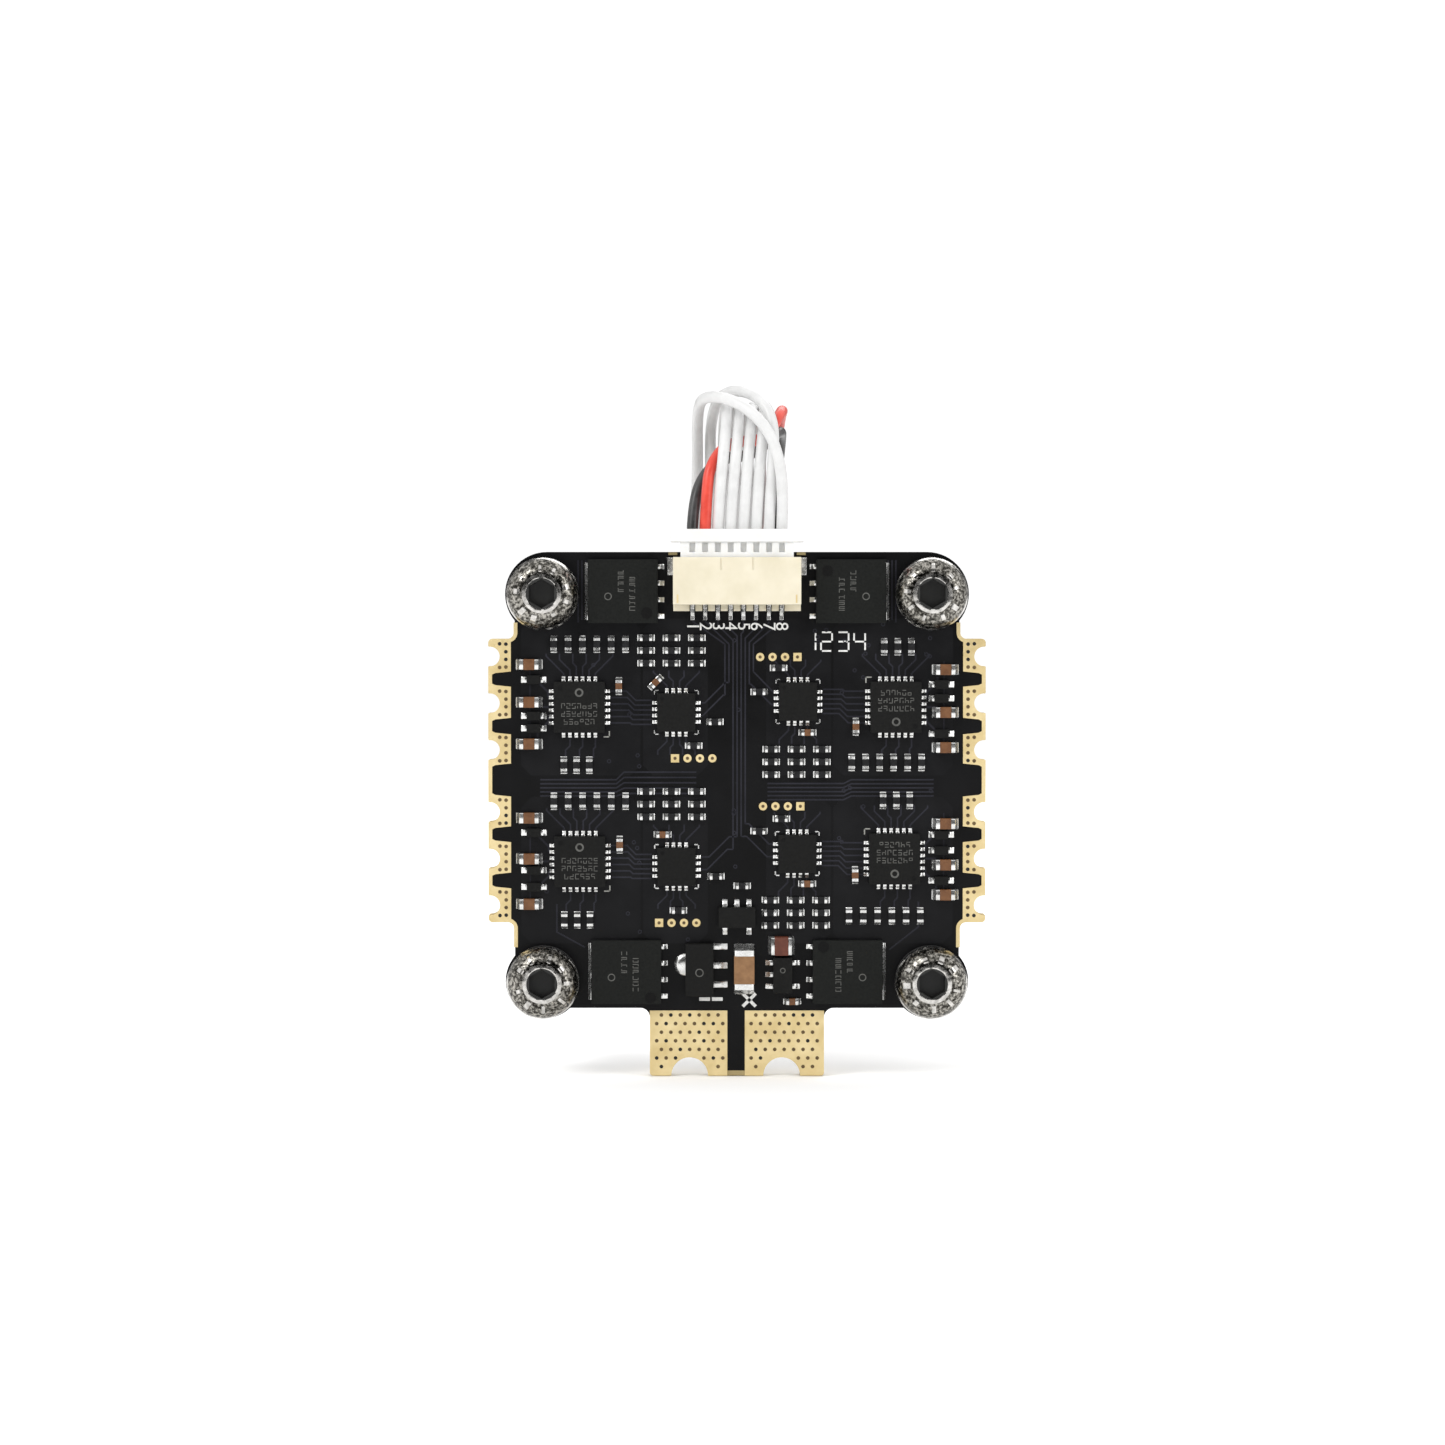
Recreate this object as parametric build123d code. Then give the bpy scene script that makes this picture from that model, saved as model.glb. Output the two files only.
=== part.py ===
from build123d import *
import os
from math import pi, radians, sqrt, tan

os.makedirs("parts", exist_ok=True)

# Four-in-one electronic speed controller for a small quadcopter.
# Units are millimetres.  The finished object stands upright: +X to the right of the component
# side, +Z up towards the signal plug, +Y out of the rear of the board.  The origin is the centre
# of the 30.5 mm screw square, on the plane of the rear faces of the rubber grommets.
# Everything but the wires is drawn lying flat, in which X is the same, Y runs up the board and
# the height counts from the rear mounting plane towards the component side.

# ---- driving dimensions ----
SCREW_SPACING = 30.5
SCREW_AT = SCREW_SPACING / 2
BOARD_THICKNESS = 1.6
REAR_FLANGE = 2.0
FRONT_FLANGE = 1.4
REAR = REAR_FLANGE
FRONT = REAR + BOARD_THICKNESS
COPPER = 0.08

# board outline
BODY_HALF_WIDTH = 17.5
BOARD_TOP = 18.55
BOARD_BOTTOM = -17.4
TOP_EAR_CENTRE = (14.95, 15.25)
TOP_EAR_RADIUS = 3.3
BOTTOM_EAR_RADIUS = 3.0
PAD_ZONE_HALF_WIDTH = 19.5
PAD_ZONE_TOP = 11.65
PAD_ZONE_BOTTOM = -10.55
TAB_HALF_WIDTH = 6.87
TAB_BOTTOM = -22.75
ZONE_ROOT_RADIUS = 0.55
TAB_ROOT_RADIUS = 0.75
OUTER_CORNER_RADIUS = 0.25

# solder pads
MOTOR_NOTCH_RADIUS = 0.85
MOTOR_NOTCH_X = 19.45
MOTOR_PITCH = 3.68
UPPER_MOTOR_Y = 6.65
LOWER_MOTOR_Y = -5.6
MOTOR_PAD_INNER_X = 17.8
PAD_RIM = 0.22
PLATED_TOP = 13.0
PLATED_BOTTOM = -12.6
FINGER_GAPS = ((9.15, 7.95), (5.5, 4.2), (1.9, -0.7), (-3.05, -4.3), (-6.7, -7.95))
FINGER_TIP_X = 19.28
TAB_NOTCH_RADIUS = 1.45
TAB_NOTCH_X = (-3.73, 3.53)
BATTERY_PAD_TOP = -17.6
NEGATIVE_PAD_INNER_X = -0.76
POSITIVE_PAD_INNER_X = 0.62

# grommets and screws
BOARD_HOLE_RADIUS = 2.0
GROMMET_WAIST_RADIUS = 1.95
GROMMET_FLANGE_RADIUS = 2.8
GROMMET_BORE_RADIUS = 1.6
GROMMET_ROUNDING = 0.35
SCREW_HEAD_RADIUS = 2.85
SCREW_HEAD_HEIGHT = 1.65
SCREW_LENGTH = 12.0
THREAD_RADIUS = 1.5
SHANK_RADIUS = 1.34
SOCKET_ACROSS_FLATS = 2.0
SOCKET_DEPTH = 1.04

# signal header and plug
PINS = 8
PIN_PITCH = 1.0
HEADER_HALF_WIDTH = 5.0
HEADER_BOTTOM = 13.9
HEADER_TOP = 18.1
HEADER_HEIGHT = 2.95
HEADER_STEP_Y = 14.4
HEADER_STEP_HEIGHT = 1.1
HEADER_RIB_X = 1.25
HEADER_TAB = (0.45, 1.35, 1.2)
HEADER_TAB_Y = 17.4
PIN_TOE_Y = 13.2
CAVITY_FLOOR_Y = 15.0
CAVITY_HALF_WIDTH = 4.5
PLUG_CLEARANCE = 0.08
PLUG_AXIS = FRONT + 1.5
CAVITY_HALF_HEIGHT = 1.1
PLUG_TIP_Y = 15.4
PLUG_SHOULDER_Y = 19.3
PLUG_TOP_Y = 20.3
PLUG_SHOULDER_HALF_WIDTH = 5.2
PLUG_SHOULDER_THICKNESS = 2.4
CHANNEL_WIDTH = 0.56
CHANNEL_HALF_HEIGHT = 0.35
WINDOW = (0.45, 0.75, 0.4)
WINDOW_BELOW_SHOULDER = 0.43
PIN_WIDTH = 0.3
PIN_THICKNESS = 0.25

# signal cable
WIRE_DIAMETER = 0.9
CORNER_SHARE = 0.45
FAR_PLUG_Y = 7.5
FAR_PLUG_TOP = -6.0

# packages
MOSFET_BODY = (5.5, 5.0, 1.0)
QFN24_BODY = (4.0, 4.0, 0.85)
QFN20_BODY = (3.0, 3.0, 0.8)
LEAD_HEIGHT = 0.25

pin_places = [(index - (PINS - 1) / 2) * PIN_PITCH for index in range(PINS)]
screw_places = [(-SCREW_AT, SCREW_AT), (SCREW_AT, SCREW_AT), (-SCREW_AT, -SCREW_AT), (SCREW_AT, -SCREW_AT)]


# ---- helpers ----
def slab(face, low, high):
    """A flat face made solid between two heights."""
    return Pos(0, 0, low) * extrude(face, amount=high - low)


def block(x, y, size, low):
    """A box centred on x and y that stands on the height low."""
    return Pos(x, y, low + size[2] / 2) * Box(*size)


def strip(x_low, x_high, y_low, y_high):
    """A flat rectangle between two corners."""
    return Pos((x_low + x_high) / 2, (y_low + y_high) / 2) * Rectangle(x_high - x_low, y_high - y_low)


def bar(x_low, x_high, y_low, y_high, low, high):
    """A box between two corners."""
    return slab(strip(x_low, x_high, y_low, y_high), low, high)


def save(node, pieces, stand=True):
    """Write one node; pieces drawn flat are stood upright first."""
    pieces = list(pieces)
    if stand:
        pieces = [Rot(90, 0, 0) * piece for piece in pieces]
    solids = [solid for piece in pieces for solid in piece.solids()]
    shape = solids[0] if len(solids) == 1 else Compound(solids)
    export_step(shape, f"parts/{node}.step")


# ---- board ----
def board_outline():
    """The printed circuit board's edge, with its pad zones, ears, battery tab and notches."""
    ear_x, ear_y = TOP_EAR_CENTRE
    face = strip(-BODY_HALF_WIDTH, BODY_HALF_WIDTH, -SCREW_AT, ear_y)
    face += strip(-ear_x, ear_x, 0, BOARD_TOP)
    face += strip(-SCREW_AT, SCREW_AT, BOARD_BOTTOM, 0)
    face += strip(-PAD_ZONE_HALF_WIDTH, PAD_ZONE_HALF_WIDTH, PAD_ZONE_BOTTOM, PAD_ZONE_TOP)
    face += strip(-TAB_HALF_WIDTH, TAB_HALF_WIDTH, TAB_BOTTOM, 0)
    for side in (-1, 1):
        face += Pos(side * ear_x, ear_y) * Circle(TOP_EAR_RADIUS)
        face += Pos(side * SCREW_AT, -SCREW_AT) * Circle(BOTTOM_EAR_RADIUS)

    def corners(x, heights):
        found = []
        for vertex in face.vertices():
            if abs(abs(vertex.X) - x) < 0.01 and any(abs(vertex.Y - y) < 0.01 for y in heights):
                found.append(vertex)
        return found

    face = fillet(corners(BODY_HALF_WIDTH, (PAD_ZONE_TOP, PAD_ZONE_BOTTOM)), ZONE_ROOT_RADIUS)
    face = fillet(corners(TAB_HALF_WIDTH, (BOARD_BOTTOM,)), TAB_ROOT_RADIUS)
    face = fillet(corners(PAD_ZONE_HALF_WIDTH, (PAD_ZONE_TOP, PAD_ZONE_BOTTOM)), OUTER_CORNER_RADIUS)
    face = fillet(corners(TAB_HALF_WIDTH, (TAB_BOTTOM,)), OUTER_CORNER_RADIUS)
    for side in (-1, 1):
        for motor_y in (UPPER_MOTOR_Y, LOWER_MOTOR_Y):
            for phase in (-1, 0, 1):
                place = Pos(side * MOTOR_NOTCH_X, motor_y + phase * MOTOR_PITCH)
                face -= place * Circle(MOTOR_NOTCH_RADIUS)
    for x in TAB_NOTCH_X:
        face -= Pos(x, TAB_BOTTOM) * Circle(TAB_NOTCH_RADIUS)
    return face


outline = board_outline()
inner_outline = offset(outline, amount=-PAD_RIM)
outer_outline = offset(outline, amount=COPPER)
board_holes = Sketch() + [Pos(x, y) * Circle(BOARD_HOLE_RADIUS) for x, y in screw_places]
board = slab(outline - board_holes, REAR, FRONT)
save("board", [board])


# ---- copper: plated edges, motor pads and battery pads ----
def edge_plating():
    """Gold over both long edges, folded a little way onto both faces."""
    ring = outer_outline - inner_outline
    sides = []
    for side in (-1, 1):
        reach = Pos(side * (BODY_HALF_WIDTH + 2), (PLATED_TOP + PLATED_BOTTOM) / 2)
        reach *= Rectangle(5, PLATED_TOP - PLATED_BOTTOM)
        sides.append(slab(ring & reach, REAR - COPPER, FRONT + COPPER) - board)
    return sides


def finger(side, top, bottom):
    """One tapered tongue of black mask between two motor pads."""
    shoulder = 0.25
    points = [
        (side * MOTOR_PAD_INNER_X, top),
        (side * (FINGER_TIP_X - shoulder), top - shoulder / 2),
        (side * FINGER_TIP_X, top - shoulder),
        (side * FINGER_TIP_X, bottom + shoulder),
        (side * (FINGER_TIP_X - shoulder), bottom + shoulder / 2),
        (side * MOTOR_PAD_INNER_X, bottom),
    ]
    return make_face(Polyline(*points, close=True))


def motor_pads(side, gold_top, gold_bottom):
    """The three phase pads of one motor, on both faces of the board."""
    width = PAD_ZONE_HALF_WIDTH - MOTOR_PAD_INNER_X + 1
    zone = Pos(side * (MOTOR_PAD_INNER_X + width / 2), (gold_top + gold_bottom) / 2)
    zone *= Rectangle(width, gold_top - gold_bottom)
    gold = zone & inner_outline
    for top, bottom in FINGER_GAPS:
        gold -= finger(side, top, bottom)
    return both_faces(gold)


def both_faces(gold):
    """The same flat copper on the front and the rear of the board."""
    return [slab(gold, FRONT, FRONT + COPPER), slab(gold, REAR - COPPER, REAR)]


save("edge_plating", edge_plating())
middle = sum(FINGER_GAPS[2]) / 2
motor_sides = [(-1, PAD_ZONE_TOP, middle), (1, PAD_ZONE_TOP, middle)]
motor_sides += [(-1, middle, PAD_ZONE_BOTTOM), (1, middle, PAD_ZONE_BOTTOM)]
for number, (side, gold_top, gold_bottom) in enumerate(motor_sides, start=1):
    save(f"motor_pads_{number}", motor_pads(side, gold_top, gold_bottom))

negative_zone = strip(-TAB_HALF_WIDTH, NEGATIVE_PAD_INNER_X, TAB_BOTTOM, BATTERY_PAD_TOP)
positive_zone = strip(POSITIVE_PAD_INNER_X, TAB_HALF_WIDTH, TAB_BOTTOM, BATTERY_PAD_TOP)
save("battery_pad_negative", both_faces(negative_zone & outline))
save("battery_pad_positive", both_faces(positive_zone & outline))


# ---- grommets and screws ----
def grommet():
    """Soft rubber bush that grips the board's edge between two flanges."""
    front = Pos(0, 0, FRONT + FRONT_FLANGE / 2) * Cylinder(GROMMET_FLANGE_RADIUS, FRONT_FLANGE)
    rear = Pos(0, 0, REAR_FLANGE / 2) * Cylinder(GROMMET_FLANGE_RADIUS, REAR_FLANGE)
    front = fillet(front.edges().group_by(Axis.Z)[-1], GROMMET_ROUNDING)
    rear = fillet(rear.edges().group_by(Axis.Z)[0], GROMMET_ROUNDING)
    waist = Pos(0, 0, REAR + BOARD_THICKNESS / 2) * Cylinder(GROMMET_WAIST_RADIUS, BOARD_THICKNESS)
    height = FRONT + FRONT_FLANGE
    bore = Pos(0, 0, height / 2) * Cylinder(GROMMET_BORE_RADIUS, height)
    return front + rear + waist - bore


def screw():
    """M3 button-head screw with a hexagon socket, seated on the grommet."""
    seat = FRONT + FRONT_FLANGE
    rim = 0.25
    flat_top = 1.35
    shoulder = (2.4, 1.15)
    edge = Polyline((0, 0), (SCREW_HEAD_RADIUS, 0), (SCREW_HEAD_RADIUS, rim))
    dome = ThreePointArc((SCREW_HEAD_RADIUS, rim), shoulder, (flat_top, SCREW_HEAD_HEIGHT))
    crown = Polyline((flat_top, SCREW_HEAD_HEIGHT), (0, SCREW_HEAD_HEIGHT), (0, 0))
    half = make_face(Curve() + [edge, dome, crown])
    head = Pos(0, 0, seat) * revolve(Plane.XZ * half, Axis.Z)
    hexagon = RegularPolygon(SOCKET_ACROSS_FLATS / sqrt(3), 6, rotation=30)
    head -= slab(hexagon, seat + SCREW_HEAD_HEIGHT - SOCKET_DEPTH, seat + SCREW_HEAD_HEIGHT)
    shank = Pos(0, 0, seat / 2) * Cylinder(SHANK_RADIUS, seat)
    reach = SCREW_LENGTH - seat
    thread = Pos(0, 0, -reach / 2) * Cylinder(THREAD_RADIUS, reach)
    thread = chamfer(thread.edges().group_by(Axis.Z)[0], 0.3)
    return head + shank + thread


for number, (x, y) in enumerate(screw_places, start=1):
    save(f"grommet_{number}", [Pos(x, y) * grommet()])
    save(f"screw_{number}", [Pos(x, y) * screw()])


# ---- signal header ----
def header_housing():
    """Side-entry header: a box open towards the plug, with slots for its eight pins."""
    top = FRONT + HEADER_HEIGHT
    body = bar(-HEADER_HALF_WIDTH, HEADER_HALF_WIDTH, HEADER_BOTTOM, HEADER_TOP, FRONT, top)
    cavity_low = PLUG_AXIS - CAVITY_HALF_HEIGHT
    cavity_high = PLUG_AXIS + CAVITY_HALF_HEIGHT
    body -= bar(-CAVITY_HALF_WIDTH, CAVITY_HALF_WIDTH, CAVITY_FLOOR_Y, HEADER_TOP, cavity_low, cavity_high)
    body -= bar(-HEADER_HALF_WIDTH, HEADER_HALF_WIDTH, HEADER_BOTTOM, HEADER_STEP_Y, FRONT + HEADER_STEP_HEIGHT, top)
    slot_half = 0.22
    groove = (0.12, 1.0, 0.05)
    for x in pin_places:
        body -= bar(x - slot_half, x + slot_half, HEADER_BOTTOM, HEADER_STEP_Y, FRONT, top)
        half = PIN_WIDTH / 2
        pin_low = PLUG_AXIS - PIN_THICKNESS / 2
        body -= bar(x - half, x + half, HEADER_STEP_Y, CAVITY_FLOOR_Y, pin_low, pin_low + PIN_THICKNESS)
    for side in (-1, 1):
        body -= block(side * HEADER_RIB_X, HEADER_TOP - groove[1] / 2, groove, top - groove[2])
    return body


def header_contacts():
    """Eight bent pins and the two solder tabs that hold the header down."""
    low = PLUG_AXIS - PIN_THICKNESS / 2
    high = low + PIN_THICKNESS
    bend = HEADER_STEP_Y - 0.3
    foot = HEADER_STEP_Y - 0.85
    tip = CAVITY_FLOOR_Y + 2.2
    profile = [(tip, high), (bend, high), (foot, FRONT + PIN_THICKNESS), (PIN_TOE_Y, FRONT + PIN_THICKNESS)]
    profile += [(PIN_TOE_Y, FRONT), (foot + 0.2, FRONT), (bend + 0.2, low), (tip, low)]
    pins = []
    for x in pin_places:
        side_view = Plane.YZ * make_face(Polyline(*profile, close=True))
        pins.append(Pos(x - PIN_WIDTH / 2, 0, 0) * extrude(side_view, amount=PIN_WIDTH))
    for side in (-1, 1):
        centre = side * (HEADER_HALF_WIDTH + HEADER_TAB[0] / 2)
        pins.append(block(centre, HEADER_TAB_Y, HEADER_TAB, FRONT))
    return pins


save("header_housing", [header_housing()])
save("header_contacts", header_contacts())


# ---- plug ----
def plug_housing():
    """Eight-way crimp housing: a tongue for the header and a wider shoulder to pull on."""
    half_width = CAVITY_HALF_WIDTH - PLUG_CLEARANCE
    half_height = CAVITY_HALF_HEIGHT - PLUG_CLEARANCE
    half_shoulder = PLUG_SHOULDER_THICKNESS / 2
    front = PLUG_AXIS + half_height
    body = bar(-half_width, half_width, PLUG_TIP_Y, PLUG_SHOULDER_Y, PLUG_AXIS - half_height, front)
    body += bar(
        -PLUG_SHOULDER_HALF_WIDTH,
        PLUG_SHOULDER_HALF_WIDTH,
        PLUG_SHOULDER_Y,
        PLUG_TOP_Y,
        PLUG_AXIS - half_shoulder,
        PLUG_AXIS + half_shoulder,
    )
    channel_low = PLUG_AXIS - CHANNEL_HALF_HEIGHT
    channel_high = PLUG_AXIS + CHANNEL_HALF_HEIGHT
    for x in pin_places:
        half = CHANNEL_WIDTH / 2
        body -= bar(x - half, x + half, PLUG_TIP_Y, PLUG_TOP_Y, channel_low, channel_high)
        body -= block(x, PLUG_SHOULDER_Y - WINDOW_BELOW_SHOULDER, WINDOW, front - WINDOW[2])
    return body


def plug_contacts():
    """Eight crimped contacts, each a leaf that rides over its header pin."""
    leaf = 0.16
    leaf_top = PLUG_AXIS + CHANNEL_HALF_HEIGHT
    leaf_width = 0.4
    contacts = []
    for x in pin_places:
        half = leaf_width / 2
        contacts.append(bar(x - half, x + half, PLUG_TIP_Y + 0.2, PLUG_TOP_Y, leaf_top - leaf, leaf_top))
    return contacts


def far_end(piece):
    """The same piece at the far end of the cable, turned half round and hanging."""
    upright = Rot(90, 0, 0) * piece
    at_origin = Pos(0, PLUG_AXIS, -PLUG_TOP_Y) * upright
    return Pos(0, FAR_PLUG_Y, FAR_PLUG_TOP) * Rot(0, 0, 180) * at_origin


save("plug_housing", [plug_housing()])
save("plug_contacts", plug_contacts())
save("far_plug_housing", [far_end(plug_housing())], stand=False)
save("far_plug_contacts", [far_end(piece) for piece in plug_contacts()], stand=False)


# ---- signal cable ----
# Each wire leaves the plug upwards, arches over the top edge of the board and hangs behind it.
# Red and black pass under the arch from left to right; the last two whites cross over it.
WIRE_ROUTES = {
    "wire_black": [
        (-3.5, -5.1, 20.3),
        (-3.4, -4.7, 22.5),
        (-2.6, -3.6, 24.7),
        (-0.9, -2.4, 26.1),
        (1.3, -1.1, 26.7),
        (3.4, 1.4, 28.0),
        (3.7, 5.2, 27.4),
        (3.2, 6.8, 24.3),
        (3.1, 7.1, 19.5),
        (3.15, 6.7, 13.5),
        (3.45, 7.0, 7.0),
        (3.6, 7.45, 0.0),
        (3.5, 7.5, -6.0),
    ],
    "wire_red": [
        (-2.5, -5.1, 20.3),
        (-2.4, -5.2, 22.8),
        (-2.1, -4.6, 25.5),
        (-0.5, -2.9, 27.3),
        (1.7, -1.4, 27.8),
        (3.7, 1.0, 29.3),
        (3.6, 5.3, 29.2),
        (3.1, 7.9, 25.9),
        (3.15, 8.2, 20.5),
        (2.9, 8.35, 14.0),
        (2.65, 8.05, 7.0),
        (2.55, 7.5, 0.0),
        (2.5, 7.5, -6.0),
    ],
    "wire_white_1": [
        (-1.5, -5.1, 20.3),
        (-1.35, -5.2, 23.2),
        (-1.08, -5.1, 26.6),
        (-0.95, -2.7, 29.4),
        (-1.05, 2.6, 29.5),
        (-1.1, 6.9, 27.0),
        (-1.05, 7.5, 22.5),
        (-0.65, 5.9, 16.5),
        (1.05, 5.85, 10.5),
        (1.55, 7.1, 4.0),
        (1.53, 7.5, -1.0),
        (1.5, 7.5, -6.0),
    ],
    "wire_white_2": [
        (-0.5, -5.1, 20.3),
        (-0.35, -5.2, 23.2),
        (-0.1, -5.1, 26.6),
        (0.05, -2.7, 29.4),
        (-0.05, 2.6, 29.5),
        (-0.08, 6.9, 27.0),
        (-0.06, 7.5, 22.5),
        (0.05, 6.95, 16.5),
        (0.4, 6.95, 10.5),
        (0.55, 7.35, 4.0),
        (0.53, 7.5, -1.0),
        (0.5, 7.5, -6.0),
    ],
    "wire_white_3": [
        (0.5, -5.1, 20.3),
        (0.65, -5.2, 23.2),
        (0.88, -5.1, 26.6),
        (1.03, -2.7, 29.4),
        (0.93, 2.6, 29.5),
        (0.92, 6.9, 27.0),
        (1.0, 7.5, 22.5),
        (0.6, 8.05, 16.5),
        (-0.2, 8.05, 10.5),
        (-0.55, 7.65, 4.0),
        (-0.47, 7.5, -1.0),
        (-0.5, 7.5, -6.0),
    ],
    "wire_white_4": [
        (1.5, -5.1, 20.3),
        (1.6, -5.15, 23.2),
        (1.86, -5.1, 26.6),
        (2.0, -2.7, 29.4),
        (1.9, 2.6, 29.5),
        (1.93, 6.9, 27.0),
        (2.0, 7.65, 22.5),
        (1.25, 9.15, 16.5),
        (-0.85, 9.15, 10.5),
        (-1.6, 7.95, 4.0),
        (-1.45, 7.6, -1.0),
        (-1.5, 7.5, -6.0),
    ],
    "wire_white_5": [
        (2.5, -5.1, 20.3),
        (2.57, -5.45, 23.0),
        (2.65, -6.05, 26.0),
        (1.4, -5.6, 28.8),
        (-1.1, -3.9, 30.4),
        (-2.2, 0.8, 30.3),
        (-2.15, 5.8, 28.8),
        (-2.1, 7.6, 25.0),
        (-2.2, 7.4, 19.5),
        (-2.4, 7.65, 12.5),
        (-2.6, 7.4, 5.5),
        (-2.45, 7.55, -0.5),
        (-2.5, 7.5, -6.0),
    ],
    "wire_white_6": [
        (3.5, -5.1, 20.3),
        (3.6, -5.4, 23.2),
        (3.65, -6.05, 26.8),
        (2.5, -5.2, 29.6),
        (0.2, -3.0, 31.1),
        (-2.3, 1.2, 31.6),
        (-3.3, 6.2, 29.8),
        (-3.15, 7.9, 25.5),
        (-3.45, 7.5, 19.5),
        (-3.3, 7.3, 12.5),
        (-3.6, 7.6, 5.5),
        (-3.45, 7.4, -0.5),
        (-3.5, 7.5, -6.0),
    ],
}


def bend_radii(points):
    """The largest tangent arc each corner leaves room for."""
    radii = []
    for before, corner, after in zip(points, points[1:], points[2:]):
        run_in = Vector(*corner) - Vector(*before)
        run_out = Vector(*after) - Vector(*corner)
        turn = radians(run_in.get_angle(run_out))
        shorter = min(run_in.length, run_out.length)
        radii.append(CORNER_SHARE * shorter / tan(turn / 2))
    return radii


def wire(points):
    """A round tube along straight runs joined by tangent arcs."""
    path = FilletPolyline(*points, radius=bend_radii(points))
    section = Plane(origin=points[0], z_dir=path % 0) * Circle(WIRE_DIAMETER / 2)
    return sweep(section, path=path), path.length


for node, points in WIRE_ROUTES.items():
    tube, length = wire(points)
    expected = pi * (WIRE_DIAMETER / 2) ** 2 * length
    print(node, "length", round(length, 2), "volume ratio", round(tube.volume / expected, 4))
    print("   radii", [round(radius, 1) for radius in bend_radii(points)])
    save(node, [tube], stand=False)


# ---- chips ----
def turned(x, y, angle, piece):
    """A piece drawn at the origin, turned and moved to its place on the board."""
    return Pos(x, y) * Rot(0, 0, angle) * piece


def quad_terminals(body_half, pitch, count, corner_marks):
    """Solder terminals round the four sides of a square leadless package."""
    out = 0.4
    width = 0.28
    pads = []
    for angle in (0, 90, 180, 270):
        for index in range(count):
            y = (index - (count - 1) / 2) * pitch
            pads.append(Rot(0, 0, angle) * block(body_half + out / 2, y, (out, width, LEAD_HEIGHT), FRONT))
        if corner_marks:
            size = (0.3, 0.3, LEAD_HEIGHT)
            place = body_half + size[0] / 2
            pads.append(Rot(0, 0, angle) * block(place, place, size, FRONT))
    return pads


def power_mosfet(drain_side, base, direction):
    """Power transistor: body, its drain bar on one side and four leads on the other."""
    length, width, height = MOSFET_BODY
    drain = (0.25, 4.5)
    lead = (0.5, 0.4)
    lead_pitch = 1.3

    def standing(x, y, size_x, size_y, size_z):
        low = base if direction > 0 else base - size_z
        return block(x, y, (size_x, size_y, size_z), low)

    body = standing(0, 0, length, width, height)
    metal = [standing(drain_side * (length + drain[0]) / 2, 0, drain[0], drain[1], LEAD_HEIGHT)]
    for index in range(4):
        y = (index - 1.5) * lead_pitch
        metal.append(standing(-drain_side * (length + lead[0]) / 2, y, lead[0], lead[1], LEAD_HEIGHT))
    return body, metal


controllers = [(-4.77, 5.93), (4.8, 6.79), (-4.76, -6.22), (4.75, -5.2)]
drivers = [(-12.4, 6.35), (12.5, 6.35), (-12.37, -5.82), (12.4, -5.6)]
controller_metal = []
driver_metal = []
for number, (x, y) in enumerate(controllers, start=1):
    save(f"motor_controller_{number}", [block(x, y, QFN20_BODY, FRONT)])
    pads = quad_terminals(QFN20_BODY[0] / 2, 0.5, 4, True)
    controller_metal += [turned(x, y, 0, pad) for pad in pads]
for number, (x, y) in enumerate(drivers, start=1):
    save(f"gate_driver_{number}", [block(x, y, QFN24_BODY, FRONT)])
    pads = quad_terminals(QFN24_BODY[0] / 2, 0.5, 6, False)
    driver_metal += [turned(x, y, 0, pad) for pad in pads]
save("motor_controller_terminals", controller_metal)
save("gate_driver_terminals", driver_metal)

front_mosfets = [(-8.97, 15.45), (8.97, 15.45), (-8.72, -14.5), (8.72, -14.5)]
front_metal = []
for number, (x, y) in enumerate(front_mosfets, start=1):
    body, metal = power_mosfet(1 if x > 0 else -1, FRONT, 1)
    save(f"front_mosfet_{number}", [Pos(x, y) * body])
    front_metal += [Pos(x, y) * piece for piece in metal]
save("front_mosfet_terminals", front_metal)

REAR_MIDDLE_Y = 0.55
REAR_ROW_PITCH = 5.4
OUTER_COLUMN_X = 14.0
INNER_COLUMN_X = 6.9
rear_places = []
for side in (-1, 1):
    for column_x, rows in ((OUTER_COLUMN_X, 4), (INNER_COLUMN_X, 6)):
        for row in range(rows):
            rear_places.append((side * column_x, REAR_MIDDLE_Y + (row - (rows - 1) / 2) * REAR_ROW_PITCH))
rear_bodies = []
rear_metal = []
for x, y in rear_places:
    body, metal = power_mosfet(1 if x > 0 else -1, REAR, -1)
    rear_bodies.append(Pos(x, y) * body)
    rear_metal += [Pos(x, y) * piece for piece in metal]
save("rear_mosfets", rear_bodies)
save("rear_mosfet_terminals", rear_metal)

# ---- supply and current sense, between the lower transistors ----
REGULATOR = (-2.95, -14.3)
REGULATOR_BODY = (2.2, 4.1, 1.4)
REGULATOR_LEAD = (1.1, 0.5, LEAD_HEIGHT)
REGULATOR_TAB_RADIUS = 0.88
REGULATOR_TAB_Y = -13.97
SENSE_AMPLIFIER = (0.0, -10.2)
SENSE_BODY = (2.9, 1.6, 1.1)
BUCK = (3.6, -14.75)
BUCK_BODY = (1.5, 2.8, 1.1)
small_lead = (0.6, 0.4, LEAD_HEIGHT)
save("voltage_regulator", [block(*REGULATOR, REGULATOR_BODY, FRONT)])
save("current_sense_amplifier", [block(*SENSE_AMPLIFIER, SENSE_BODY, FRONT)])
save("buck_converter", [block(*BUCK, BUCK_BODY, FRONT)])

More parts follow.
